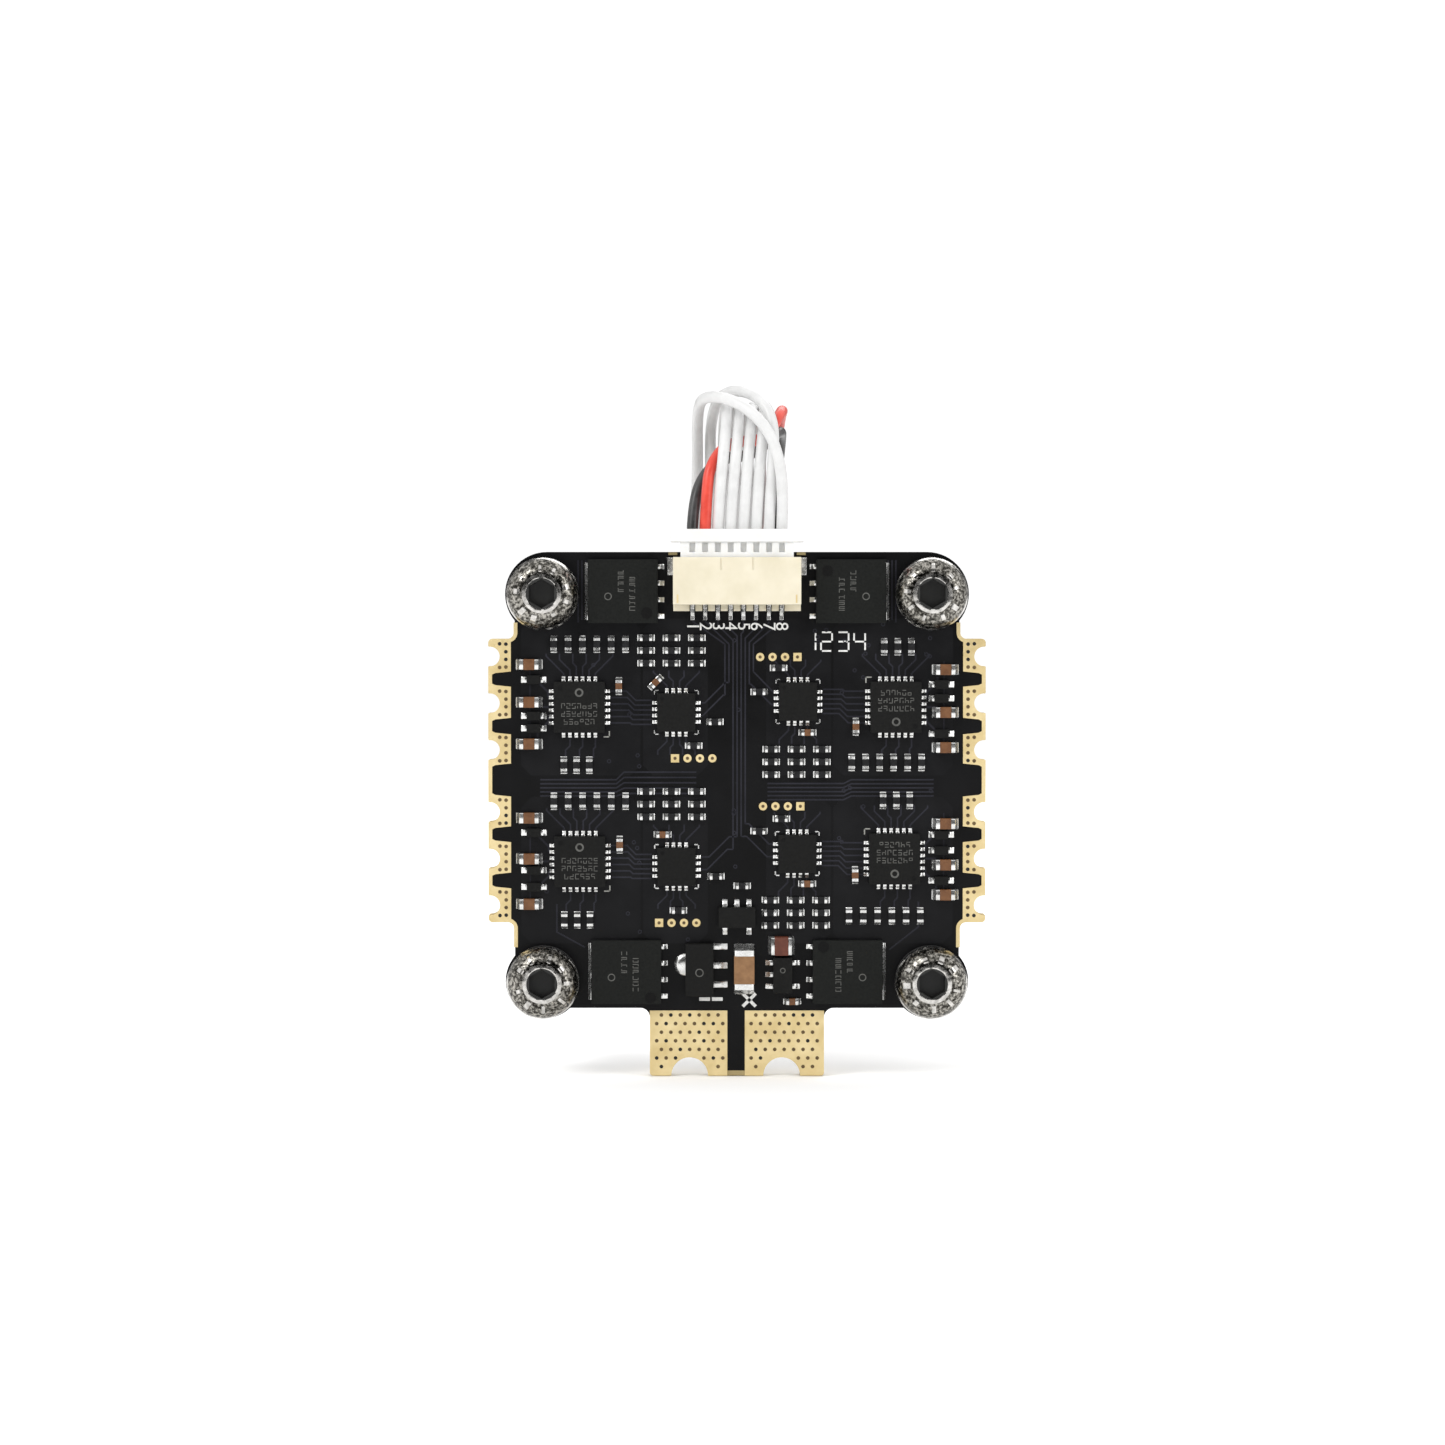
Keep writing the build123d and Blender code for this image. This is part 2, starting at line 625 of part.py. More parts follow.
small_leads = []
regulator_right = REGULATOR[0] + REGULATOR_BODY[0] / 2
for y in (-12.53, -14.03, -15.53):
    small_leads.append(block(regulator_right + REGULATOR_LEAD[0] / 2, y, REGULATOR_LEAD, FRONT))
regulator_left = REGULATOR[0] - REGULATOR_BODY[0] / 2
left_of_body = strip(regulator_left - REGULATOR_TAB_RADIUS, regulator_left, BOARD_BOTTOM, 0)
tab_face = Pos(regulator_left, REGULATOR_TAB_Y) * Circle(REGULATOR_TAB_RADIUS) & left_of_body
small_leads.append(slab(tab_face, FRONT, FRONT + LEAD_HEIGHT))
sense_edge = SENSE_BODY[1] / 2 + small_lead[0] / 2
for x, side in ((-0.95, 1), (0.0, 1), (0.95, 1), (-0.95, -1), (0.95, -1)):
    upright = (small_lead[1], small_lead[0], LEAD_HEIGHT)
    place = (SENSE_AMPLIFIER[0] + x, SENSE_AMPLIFIER[1] + side * sense_edge)
    small_leads.append(block(*place, upright, FRONT))
buck_edge = BUCK_BODY[0] / 2 + small_lead[0] / 2
for y, side in ((0.93, -1), (0.0, -1), (-0.93, -1), (0.93, 1), (-0.93, 1)):
    small_leads.append(block(BUCK[0] + side * buck_edge, BUCK[1] + y, small_lead, FRONT))
save("small_chip_leads", small_leads)


# ---- passives ----
def two_terminal(body_size, terminal_length, terminal_height, base=FRONT, direction=1):
    """A chip component along X: body between two soldered ends."""
    length, width, height = body_size

    def standing(x, size_x, size_z):
        low = base if direction > 0 else base - size_z
        return block(x, 0, (size_x, width, size_z), low)

    body = standing(0, length, height)
    place = (length + terminal_length) / 2
    return body, [standing(side * place, terminal_length, terminal_height) for side in (-1, 1)]


RESISTOR_0402 = ((0.54, 0.52, 0.34), 0.41, 0.36)
CAPACITOR_0402 = ((0.5, 0.52, 0.5), 0.45, 0.52)
CAPACITOR_0603 = ((0.9, 0.85, 0.8), 0.6, 0.82)
CAPACITOR_0805 = ((1.1, 1.45, 1.2), 0.5, 1.22)
CAPACITOR_1206 = ((2.2, 1.6, 1.5), 0.9, 1.52)
DIODE = ((1.1, 0.7, 0.6), 0.45, 0.2)
SHUNT_2512 = ((4.6, 3.2, 0.6), 0.85, 0.62)

resistor_rows = [
    (-14.42, 1.13, 6, 11.3),
    (-14.42, 1.13, 6, -1.07),
    (9.03, 1.1, 6, 1.98),
    (8.83, 1.124, 6, -10.13),
    (11.58, 1.07, 3, 11.1),
    (-13.63, 1.0, 3, 1.77),
    (11.5, 1.05, 3, -1.01),
    (-13.6, 1.01, 3, -10.45),
]
resistor_grids = [(-5.16, 10.8), (-5.16, -1.3), (4.69, 2.03), (4.63, -9.87)]
GRID_STEP = (2.0, 1.0)
single_resistors = [
    (3.27, 9.43),
    (1.75, 7.54),
    (-1.74, 5.18),
    (-3.41, 3.31),
    (3.5, -2.45),
    (1.74, -3.43),
    (-1.66, -7.0),
    (0.41, -7.75),
    (-4.62, -9.69),
]
resistor_places = []
for first_x, pitch, count, y in resistor_rows:
    resistor_places += [(first_x + index * pitch, y, 90) for index in range(count)]
for centre_x, centre_y in resistor_grids:
    for column in (-1, 0, 1):
        for row in (-1, 0, 1):
            resistor_places.append((centre_x + column * GRID_STEP[0], centre_y + row * GRID_STEP[1], 0))
resistor_places += [(x, y, 0) for x, y in single_resistors]

small_capacitors = [
    (-9.3, 8.0, 90),
    (-6.4, 8.3, 45),
    (-9.24, -4.5, 90),
    (-5.86, -3.7, 0),
    (5.55, 4.35, 0),
    (9.36, 4.8, 90),
    (5.53, -7.57, 0),
    (9.31, -6.9, 90),
    (4.36, -16.87, 0),
]
side_capacitors = [(-16.35, y, 0) for y in (9.7, 6.73, 3.45, -2.38, -5.6, -9.17)]
side_capacitors += [(16.4, y, 0) for y in (9.3, 5.93, 3.17, -2.83, -6.07, -8.43)]
diode_places = [(-16.0, y, 0) for y in (8.5, 5.65, 4.67, -3.55, -6.51, -7.83)]
diode_places += [(16.1, y, 0) for y in (8.13, 7.03, 4.25, -3.71, -4.95, -7.33)]


def populate(kinds):
    """Bodies and soldered ends of two-terminal parts at their places on the front."""
    bodies = []
    ends = []
    for (body_size, terminal_length, terminal_height), places in kinds:
        for x, y, angle in places:
            body, pair = two_terminal(body_size, terminal_length, terminal_height)
            bodies.append(turned(x, y, angle, body))
            ends += [turned(x, y, angle, piece) for piece in pair]
    return bodies, ends


bodies, ends = populate([(RESISTOR_0402, resistor_places)])
save("chip_resistors", bodies)
save("chip_resistor_terminals", ends)
bodies, ends = populate([(DIODE, diode_places)])
save("diodes", bodies)
save("diode_terminals", ends)
capacitor_kinds = [(CAPACITOR_0402, small_capacitors), (CAPACITOR_0603, side_capacitors)]
capacitor_kinds += [(CAPACITOR_0805, [(3.5, -12.45, 0)]), (CAPACITOR_1206, [(0.57, -14.3, 90)])]
bodies, capacitor_ends = populate(capacitor_kinds)
save("chip_capacitors", bodies)

# ceramic capacitors across the supply and the current shunt, on the rear
BULK_COLUMN_X = 1.4
BULK_TOP_Y = 13.6
BULK_PITCH = 4.3
bulk_bodies = []
for side in (-1, 1):
    for row in range(6):
        body, pair = two_terminal(*CAPACITOR_1206, base=REAR, direction=-1)
        place = (side * BULK_COLUMN_X, BULK_TOP_Y - row * BULK_PITCH, 90)
        bulk_bodies.append(turned(*place, body))
        capacitor_ends += [turned(*place, piece) for piece in pair]
save("bulk_capacitors", bulk_bodies)
save("chip_capacitor_terminals", capacitor_ends)
SHUNT_Y = -14.6
shunt, shunt_ends = two_terminal(*SHUNT_2512, base=REAR, direction=-1)
save("shunt_resistor", [turned(0, SHUNT_Y, 0, piece) for piece in [shunt] + shunt_ends])

# ---- gold test pads: three round and one square in each group ----
TEST_PAD = 0.65
TEST_PAD_PITCH = 0.98
test_pads = []
test_pad_rows = [(1.82, 10.29, False), (-4.88, 2.31, True), (2.05, -1.47, False), (-6.14, -10.67, True)]
for first_x, y, square_first in test_pad_rows:
    for index in range(4):
        square = index == (0 if square_first else 3)
        face = Rectangle(TEST_PAD, TEST_PAD) if square else Circle(TEST_PAD / 2)
        test_pads.append(slab(Pos(first_x + index * TEST_PAD_PITCH, y) * face, FRONT, FRONT + COPPER))
save("test_pads", test_pads)
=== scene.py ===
import math
import random

import bmesh
import bpy
import mathutils.noise
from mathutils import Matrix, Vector


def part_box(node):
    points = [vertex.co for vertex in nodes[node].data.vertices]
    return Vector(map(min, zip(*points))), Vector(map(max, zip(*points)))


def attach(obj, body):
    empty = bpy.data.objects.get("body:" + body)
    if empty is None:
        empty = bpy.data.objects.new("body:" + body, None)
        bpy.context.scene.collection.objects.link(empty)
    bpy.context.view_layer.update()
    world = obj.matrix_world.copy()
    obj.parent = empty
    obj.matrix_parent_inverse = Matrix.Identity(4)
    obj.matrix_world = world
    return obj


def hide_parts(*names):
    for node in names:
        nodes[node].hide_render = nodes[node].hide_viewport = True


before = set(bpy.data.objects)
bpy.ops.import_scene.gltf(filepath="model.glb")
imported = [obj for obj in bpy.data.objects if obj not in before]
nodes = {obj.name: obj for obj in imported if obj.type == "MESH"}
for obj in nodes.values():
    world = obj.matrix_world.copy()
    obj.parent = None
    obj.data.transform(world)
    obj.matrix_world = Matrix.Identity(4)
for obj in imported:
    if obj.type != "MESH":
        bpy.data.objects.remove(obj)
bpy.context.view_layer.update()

# Lengths are in metres.  The board's component side faces -Y, its rear faces +Y.
MM = 0.001
random.seed(7)

BOARD_LOW, BOARD_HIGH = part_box("board")
FRONT_Y = BOARD_LOW.y
REAR_Y = BOARD_HIGH.y
FLOOR_Z = BOARD_LOW.z - 0.05 * MM

# the view straight at the component side, from a little above
VIEW_WIDTH = 113.8 * MM
VIEW_CENTRE = Vector((-1.14 * MM, FRONT_Y, 5.13 * MM))
CAMERA_DISTANCE = 300 * MM
CAMERA_ELEVATION = math.radians(1.5)
SENSOR = 36.0
FLOOR_HALF = 3.0
CARD_DISTANCE = 0.45
CARD_HALF = 0.42
ROOM_STRENGTH = 1.05
MASK_SHINE = 0.14
EPOXY_SHINE = 0.11


# ---- camera, floor and light ----
def make_camera():
    data = bpy.data.cameras.new("camera")
    data.sensor_width = SENSOR
    data.lens = SENSOR * CAMERA_DISTANCE / VIEW_WIDTH
    data.clip_start = 0.01
    data.clip_end = 20.0
    camera = bpy.data.objects.new("camera", data)
    back = Vector((0, -math.cos(CAMERA_ELEVATION), math.sin(CAMERA_ELEVATION)))
    camera.location = VIEW_CENTRE + back * CAMERA_DISTANCE
    camera.rotation_euler = (math.radians(90) - CAMERA_ELEVATION, 0, 0)
    bpy.context.scene.collection.objects.link(camera)
    bpy.context.scene.camera = camera


def area_light(name, place, size, power, aim):
    data = bpy.data.lights.new(name, "AREA")
    data.shape = "RECTANGLE"
    data.size = size[0]
    data.size_y = size[1]
    data.energy = power
    light = bpy.data.objects.new(name, data)
    light.location = place
    light.rotation_euler = (Vector(aim) - Vector(place)).to_track_quat("-Z", "Y").to_euler()
    bpy.context.scene.collection.objects.link(light)


def staged_plane(name, corners, colour):
    mesh = bpy.data.meshes.new(name)
    mesh.from_pydata(corners, [], [(0, 1, 2, 3)])
    plane = bpy.data.objects.new(name, mesh)
    bpy.context.scene.collection.objects.link(plane)
    material = bpy.data.materials.new(name)
    material.use_nodes = True
    shader = material.node_tree.nodes["Principled BSDF"]
    shader.inputs["Base Color"].default_value = (colour, colour, colour, 1)
    shader.inputs["Roughness"].default_value = 0.9
    shader.inputs["Specular IOR Level"].default_value = 0.0
    mesh.materials.append(material)
    return plane


def dark_card(name, y):
    """A studio flag that keeps the flat black board from mirroring the white room."""
    low = FLOOR_Z - 0.3
    corners = [(-CARD_HALF, y, low), (CARD_HALF, y, low), (CARD_HALF, y, CARD_HALF), (-CARD_HALF, y, CARD_HALF)]
    card = staged_plane(name, corners, 0.01)
    card.visible_camera = False
    card.visible_diffuse = False
    card.visible_shadow = False


def make_studio():
    """A pale floor, a white room and plain soft light."""
    size = FLOOR_HALF
    staged_plane(
        "floor",
        [(-size, -size, FLOOR_Z), (size, -size, FLOOR_Z), (size, size, FLOOR_Z), (-size, size, FLOOR_Z)],
        0.96,
    )
    dark_card("front_card", -CARD_DISTANCE)
    dark_card("rear_card", CARD_DISTANCE)
    world = bpy.data.worlds.new("studio")
    world.use_nodes = True
    world.node_tree.nodes["Background"].inputs["Color"].default_value = (1, 1, 1, 1)
    world.node_tree.nodes["Background"].inputs["Strength"].default_value = ROOM_STRENGTH
    bpy.context.scene.world = world
    bpy.context.scene.view_settings.view_transform = "Standard"
    area_light("key", (-0.30, -0.30, 0.35), (0.20, 0.20), 1.0, (0, 0, 0.005))
    area_light("fill", (0.35, -0.28, 0.15), (0.15, 0.30), 0.4, (0, 0, 0.005))
    area_light("rim", (0.10, 0.40, 0.35), (0.40, 0.20), 0.8, (0, 0, 0.005))


make_camera()
make_studio()


# ---- materials ----
def new_material(name, colour, roughness, metallic=0.0):
    material = bpy.data.materials.new(name)
    material.use_nodes = True
    shader = material.node_tree.nodes["Principled BSDF"]
    shader.inputs["Base Color"].default_value = (*colour, 1)
    shader.inputs["Roughness"].default_value = roughness
    shader.inputs["Metallic"].default_value = metallic
    return material


def shader_of(material):
    return material.node_tree.nodes["Principled BSDF"]


def noise(material, scale, detail=4.0, roughness=0.6, stretch=(1, 1, 1)):
    """Noise in object space; scale counts features per metre."""
    tree = material.node_tree
    place = tree.nodes.new("ShaderNodeTexCoord")
    mapping = tree.nodes.new("ShaderNodeMapping")
    mapping.inputs["Scale"].default_value = stretch
    texture = tree.nodes.new("ShaderNodeTexNoise")
    texture.inputs["Scale"].default_value = scale
    texture.inputs["Detail"].default_value = detail
    texture.inputs["Roughness"].default_value = roughness
    tree.links.new(place.outputs["Object"], mapping.inputs["Vector"])
    tree.links.new(mapping.outputs["Vector"], texture.inputs["Vector"])
    return texture


def vary_colour(material, texture, stops):
    """Colour from a ramp over a texture."""
    tree = material.node_tree
    ramp = tree.nodes.new("ShaderNodeValToRGB")
    while len(ramp.color_ramp.elements) < len(stops):
        ramp.color_ramp.elements.new(0.5)
    for element, (position, colour) in zip(ramp.color_ramp.elements, stops):
        element.position = position
        element.color = (*colour, 1)
    tree.links.new(texture.outputs["Fac"], ramp.inputs["Fac"])
    tree.links.new(ramp.outputs["Color"], shader_of(material).inputs["Base Color"])
    return ramp


def vary_roughness(material, texture, low, high):
    tree = material.node_tree
    spread = tree.nodes.new("ShaderNodeMapRange")
    spread.inputs["From Min"].default_value = 0.3
    spread.inputs["From Max"].default_value = 0.7
    spread.inputs["To Min"].default_value = low
    spread.inputs["To Max"].default_value = high
    tree.links.new(texture.outputs["Fac"], spread.inputs["Value"])
    tree.links.new(spread.outputs["Result"], shader_of(material).inputs["Roughness"])


def add_bump(material, texture, distance, strength=1.0):
    tree = material.node_tree
    bump = tree.nodes.new("ShaderNodeBump")
    bump.inputs["Strength"].default_value = strength
    bump.inputs["Distance"].default_value = distance
    tree.links.new(texture.outputs["Fac"], bump.inputs["Height"])
    tree.links.new(bump.outputs["Normal"], shader_of(material).inputs["Normal"])


def mask_material():
    """Glossy black solder mask with a slight blue cast and a fine orange peel."""
    material = new_material("solder_mask", (0.008, 0.008, 0.010), 0.35)
    cloud = noise(material, 160, 3)
    vary_colour(material, cloud, [(0.35, (0.0030, 0.0030, 0.0032)), (0.65, (0.0050, 0.0050, 0.0056))])
    vary_roughness(material, cloud, 0.30, 0.42)
    add_bump(material, noise(material, 2200, 2), 0.01 * MM, 0.35)
    shader_of(material).inputs["Specular IOR Level"].default_value = MASK_SHINE
    return material


def mask_over_copper(name, dark, light):
    """The same mask where it runs over copper: a shade lighter and bluer."""
    material = new_material(name, light, 0.32)
    cloud = noise(material, 300, 3)
    vary_colour(material, cloud, [(0.3, dark), (0.7, light)])
    vary_roughness(material, cloud, 0.28, 0.42)
    add_bump(material, noise(material, 2200, 2), 0.01 * MM, 0.35)
    shader_of(material).inputs["Specular IOR Level"].default_value = MASK_SHINE
    return material


def laminate_material():
    """Glass-fibre board edge: layered tan."""
    material = new_material("laminate_edge", (0.36, 0.29, 0.13), 0.6)
    layers = noise(material, 900, 3, stretch=(0.15, 3.0, 0.15))
    vary_colour(material, layers, [(0.3, (0.20, 0.15, 0.06)), (0.7, (0.45, 0.36, 0.17))])
    vary_roughness(material, layers, 0.5, 0.75)
    return material


def gold_material():
    """Pale immersion gold with the fine grain of plated copper."""
    material = new_material("immersion_gold", (0.80, 0.62, 0.30), 0.34, 0.3)
    grain = noise(material, 3500, 4)
    cloud = noise(material, 500, 3)
    vary_colour(material, cloud, [(0.3, (0.63, 0.485, 0.225)), (0.7, (0.77, 0.63, 0.345))])
    vary_roughness(material, grain, 0.28, 0.48)
    add_bump(material, grain, 0.012 * MM, 0.5)
    return material


def solder_material():
    """Bright tin with small facets and dull patches."""
    material = new_material("tinned_solder", (0.80, 0.80, 0.79), 0.25, 0.9)
    cloud = noise(material, 1700, 3)
    vary_colour(material, cloud, [(0.3, (0.60, 0.60, 0.58)), (0.6, (0.88, 0.88, 0.87))])
    vary_roughness(material, cloud, 0.14, 0.34)
    add_bump(material, noise(material, 1300, 2), 0.02 * MM, 0.5)
    return material


def nickel_material():
    """Bright nickel plate over a rough-forged head, with painted shade: the colour runs nearly black in the bump's
    hollows.
    """
    material = new_material("nickel_plate", (0.4, 0.38, 0.35), 0.22, 1.0)
    pits_and_shade = noise(material, 4200, 3, 0.6)
    # painted shade: the ramp's near-black low end follows the same noise as the bump, darkening the pits as shade
    # would
    vary_colour(material, pits_and_shade, [(0.38, (0.024, 0.022, 0.019)), (0.50, (0.13, 0.124, 0.11)), (0.64, (0.46, 0.44, 0.40))])
    vary_roughness(material, pits_and_shade, 0.12, 0.34)
    add_bump(material, pits_and_shade, 0.03 * MM, 0.5)
    return material


def socket_shade_material():
    """Painted shade: near-black steel inside a screw's socket, standing in for the shade in the recess."""
    material = new_material("socket_painted_shade", (0.014, 0.014, 0.013), 0.5, 0.2)
    shade_mottle = noise(material, 1200, 3)
    # painted shade: a near-black ramp for the socket's walls and floor
    vary_colour(material, shade_mottle, [(0.3, (0.009, 0.009, 0.009)), (0.7, (0.022, 0.022, 0.020))])
    vary_roughness(material, shade_mottle, 0.45, 0.65)
    return material


def rim_highlight_material():
    """Painted highlight: a much brighter nickel on the head's raised rims and ticks, standing in for the light they
    catch.
    """
    material = new_material("nickel_rim_highlight", (0.62, 0.60, 0.57), 0.2, 1.0)
    highlight_mottle = noise(material, 1500, 4)
    # painted highlight: the whole ramp sits far above the dome's nickel
    vary_colour(material, highlight_mottle, [(0.3, (0.34, 0.33, 0.31)), (0.6, (0.74, 0.72, 0.69))])
    vary_roughness(material, highlight_mottle, 0.16, 0.34)
    return material


def thread_material():
    """Rolled thread: smoother plate with faint smears."""
    material = new_material("thread_plate", (0.42, 0.41, 0.39), 0.25, 1.0)
    smears = noise(material, 900, 4, 0.6, (1, 3, 1))
    vary_colour(material, smears, [(0.3, (0.26, 0.25, 0.235)), (0.7, (0.50, 0.485, 0.46))])
    vary_roughness(material, smears, 0.18, 0.34)
    return material


def epoxy_material(name, dark, light):
    """Moulded epoxy package with a fine sandy grain."""
    material = new_material(name, dark, 0.55)
    grain = noise(material, 5200, 3)
    vary_colour(material, grain, [(0.3, dark), (0.7, light)])
    vary_roughness(material, grain, 0.48, 0.66)
    add_bump(material, grain, 0.008 * MM, 0.6)
    shader_of(material).inputs["Specular IOR Level"].default_value = EPOXY_SHINE
    return material


def rubber_material():
    material = new_material("black_rubber", (0.018, 0.018, 0.018), 0.7)
    grain = noise(material, 1800, 4)
    vary_colour(material, grain, [(0.3, (0.012, 0.012, 0.012)), (0.7, (0.03, 0.03, 0.03))])
    vary_roughness(material, grain, 0.6, 0.8)
    add_bump(material, grain, 0.02 * MM, 0.5)
    return material


def nylon_material(name, dark, light, glow, clear):
    """Moulded nylon: waxy, faintly cloudy, light bleeding through its thin walls."""
    material = new_material(name, light, 0.42)
    cloud = noise(material, 420, 3)
    vary_colour(material, cloud, [(0.3, dark), (0.7, light)])
    vary_roughness(material, cloud, 0.36, 0.5)
    add_bump(material, noise(material, 2600, 3), 0.01 * MM, 0.4)
    shader = shader_of(material)
    shader.inputs["Subsurface Weight"].default_value = glow
    shader.inputs["Subsurface Scale"].default_value = 0.6 * MM
    shader.inputs["Subsurface Radius"].default_value = (1.0, 0.9, 0.75)
    shader.inputs["Transmission Weight"].default_value = clear
    return material


def silicone_material(name, dark, light):
    """Soft silicone insulation with a faint dusty sheen."""
    material = new_material(name, light, 0.38)
    dust = noise(material, 900, 4)
    vary_colour(material, dust, [(0.35, dark), (0.7, light)])
    vary_roughness(material, dust, 0.30, 0.46)
    add_bump(material, dust, 0.015 * MM, 0.4)
    shader = shader_of(material)
    shader.inputs["Sheen Weight"].default_value = 0.15
    shader.inputs["Sheen Roughness"].default_value = 0.5
    return material


def ceramic_material(name, dark, light):
    """Fired capacitor ceramic, speckled and slightly glossy."""
    material = new_material(name, light, 0.4)
    speckle = noise(material, 2400, 4)
    vary_colour(material, speckle, [(0.3, dark), (0.7, light)])
    vary_roughness(material, speckle, 0.32, 0.5)
    add_bump(material, speckle, 0.01 * MM, 0.4)
    return material


def ink_material(name, dark, light, roughness=0.6):
    """Printed or laser-marked lines, filled vias and the painted shade of open holes, a little uneven."""
    material = new_material(name, light, roughness)
    patches = noise(material, 3000, 3)
    vary_colour(material, patches, [(0.3, dark), (0.7, light)])
    vary_roughness(material, patches, roughness - 0.08, roughness + 0.1)
    return material


MASK = mask_material()
TRACE = mask_over_copper("mask_over_tracks", (0.015, 0.015, 0.020), (0.025, 0.025, 0.033))
POUR = mask_over_copper("mask_over_pours", (0.0048, 0.0048, 0.0054), (0.0080, 0.0080, 0.0090))
LAMINATE = laminate_material()
GOLD = gold_material()
SOLDER = solder_material()
# nickel for the screw heads, with painted shade in its hollows
NICKEL = nickel_material()
# painted shade for the inside of the screw sockets
SOCKET_SHADE = socket_shade_material()
THREAD = thread_material()
# painted highlight for the screw heads' rims and ticks
RIM_HIGHLIGHT = rim_highlight_material()
EPOXY = epoxy_material("black_epoxy", (0.0065, 0.0065, 0.0062), (0.0105, 0.0105, 0.0100))
MOSFET_EPOXY = epoxy_material("mosfet_epoxy", (0.0065, 0.0072, 0.0065), (0.012, 0.0127, 0.0117))
RESISTOR_BLACK = epoxy_material("resistor_glaze", (0.010, 0.010, 0.010), (0.020, 0.020, 0.022))
RUBBER = rubber_material()
IVORY = nylon_material("ivory_nylon", (0.62, 0.565, 0.42), (0.70, 0.645, 0.51), 0.2, 0.0)
CLEAR_NYLON = nylon_material("white_nylon", (0.72, 0.72, 0.70), (0.80, 0.80, 0.79), 0.3, 0.05)
WHITE_SILICONE = silicone_material("white_silicone", (0.61, 0.61, 0.605), (0.68, 0.68, 0.675))
RED_SILICONE = silicone_material("red_silicone", (0.58, 0.036, 0.018), (0.72, 0.065, 0.036))
BLACK_SILICONE = silicone_material("black_silicone", (0.014, 0.014, 0.014), (0.045, 0.044, 0.044))
BROWN = ceramic_material("brown_ceramic", (0.105, 0.038, 0.010), (0.165, 0.066, 0.019))
RED_BROWN = ceramic_material("red_brown_ceramic", (0.078, 0.016, 0.006), (0.125, 0.030, 0.013))
TAN = ceramic_material("tan_ceramic", (0.185, 0.088, 0.032), (0.265, 0.138, 0.056))
SILK = ink_material("white_ink", (0.60, 0.60, 0.58), (0.78, 0.78, 0.76))
LASER = ink_material("laser_mark", (0.055, 0.055, 0.050), (0.10, 0.10, 0.092))
BRONZE = ink_material("filled_via", (0.050, 0.029, 0.009), (0.14, 0.085, 0.027), 0.5)
GREY_PRINT = ink_material("grey_print", (0.22, 0.22, 0.20), (0.34, 0.34, 0.31))
DIMPLE = epoxy_material("dimple_epoxy", (0.004, 0.004, 0.004), (0.007, 0.007, 0.007))
# painted shade: a near-black ink standing in for the inside of open vias
HOLE_SHADE = ink_material("painted_hole_shade", (0.004, 0.004, 0.004), (0.012, 0.011, 0.010), 0.7)


# ---- mesh helpers ----
class Shape:
    """Collects faces for one piece."""

    def __init__(self):
        self.points = []
        self.faces = []

    def add(self, points, faces):
        first = len(self.points)
        self.points += [tuple(point) for point in points]
        self.faces += [tuple(first + index for index in face) for face in faces]

    def rings(self, rings, closed_ends=True):
        """A skin over rings of equal length, each a closed loop of points."""
        count = len(rings[0])
        points = [point for ring in rings for point in ring]
        faces = []
        for level in range(len(rings) - 1):
            for index in range(count):
                after = (index + 1) % count
                low = level * count
                faces.append((low + index, low + after, low + count + after, low + count + index))
        if closed_ends:
            faces.append(tuple(range(count - 1, -1, -1)))
            faces.append(tuple((len(rings) - 1) * count + index for index in range(count)))
        self.add(points, faces)

    def piece(self, name, material, body, slot, smooth=None, replaces=()):
        """Turn the faces into an object that rides on a body."""
        mesh = bpy.data.meshes.new(name)
        mesh.from_pydata(self.points, [], self.faces)
        work = bmesh.new()
        work.from_mesh(mesh)
        bmesh.ops.recalc_face_normals(work, faces=work.faces)
        work.to_mesh(mesh)
        work.free()
        if smooth:
            mesh.polygons.foreach_set("use_smooth", [True] * len(mesh.polygons))
            mesh.set_sharp_from_angle(angle=math.radians(smooth))
        mesh.materials.append(material)
        piece = bpy.data.objects.new(name, mesh)
        bpy.context.scene.collection.objects.link(piece)
        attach(piece, body)
        if replaces:
            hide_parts(*replaces)
        return piece


class Solid:
    """One closed solid of a CAD node: its place on the board plane, its two directions and its size."""

    def __init__(self, points, along):
        self.along = along
        self.across = Vector((-along.z, 0, along.x))
        spread_along = [point.dot(self.along) for point in points]
        spread_across = [point.dot(self.across) for point in points]
        heights = [point.y for point in points]
        self.length = max(spread_along) - min(spread_along)
        self.width = max(spread_across) - min(spread_across)
        middle_along = (max(spread_along) + min(spread_along)) / 2
        middle_across = (max(spread_across) + min(spread_across)) / 2
        self.centre = self.along * middle_along + self.across * middle_across
        self.low = min(heights)
        self.high = max(heights)
        self.sides = len(points) // 2


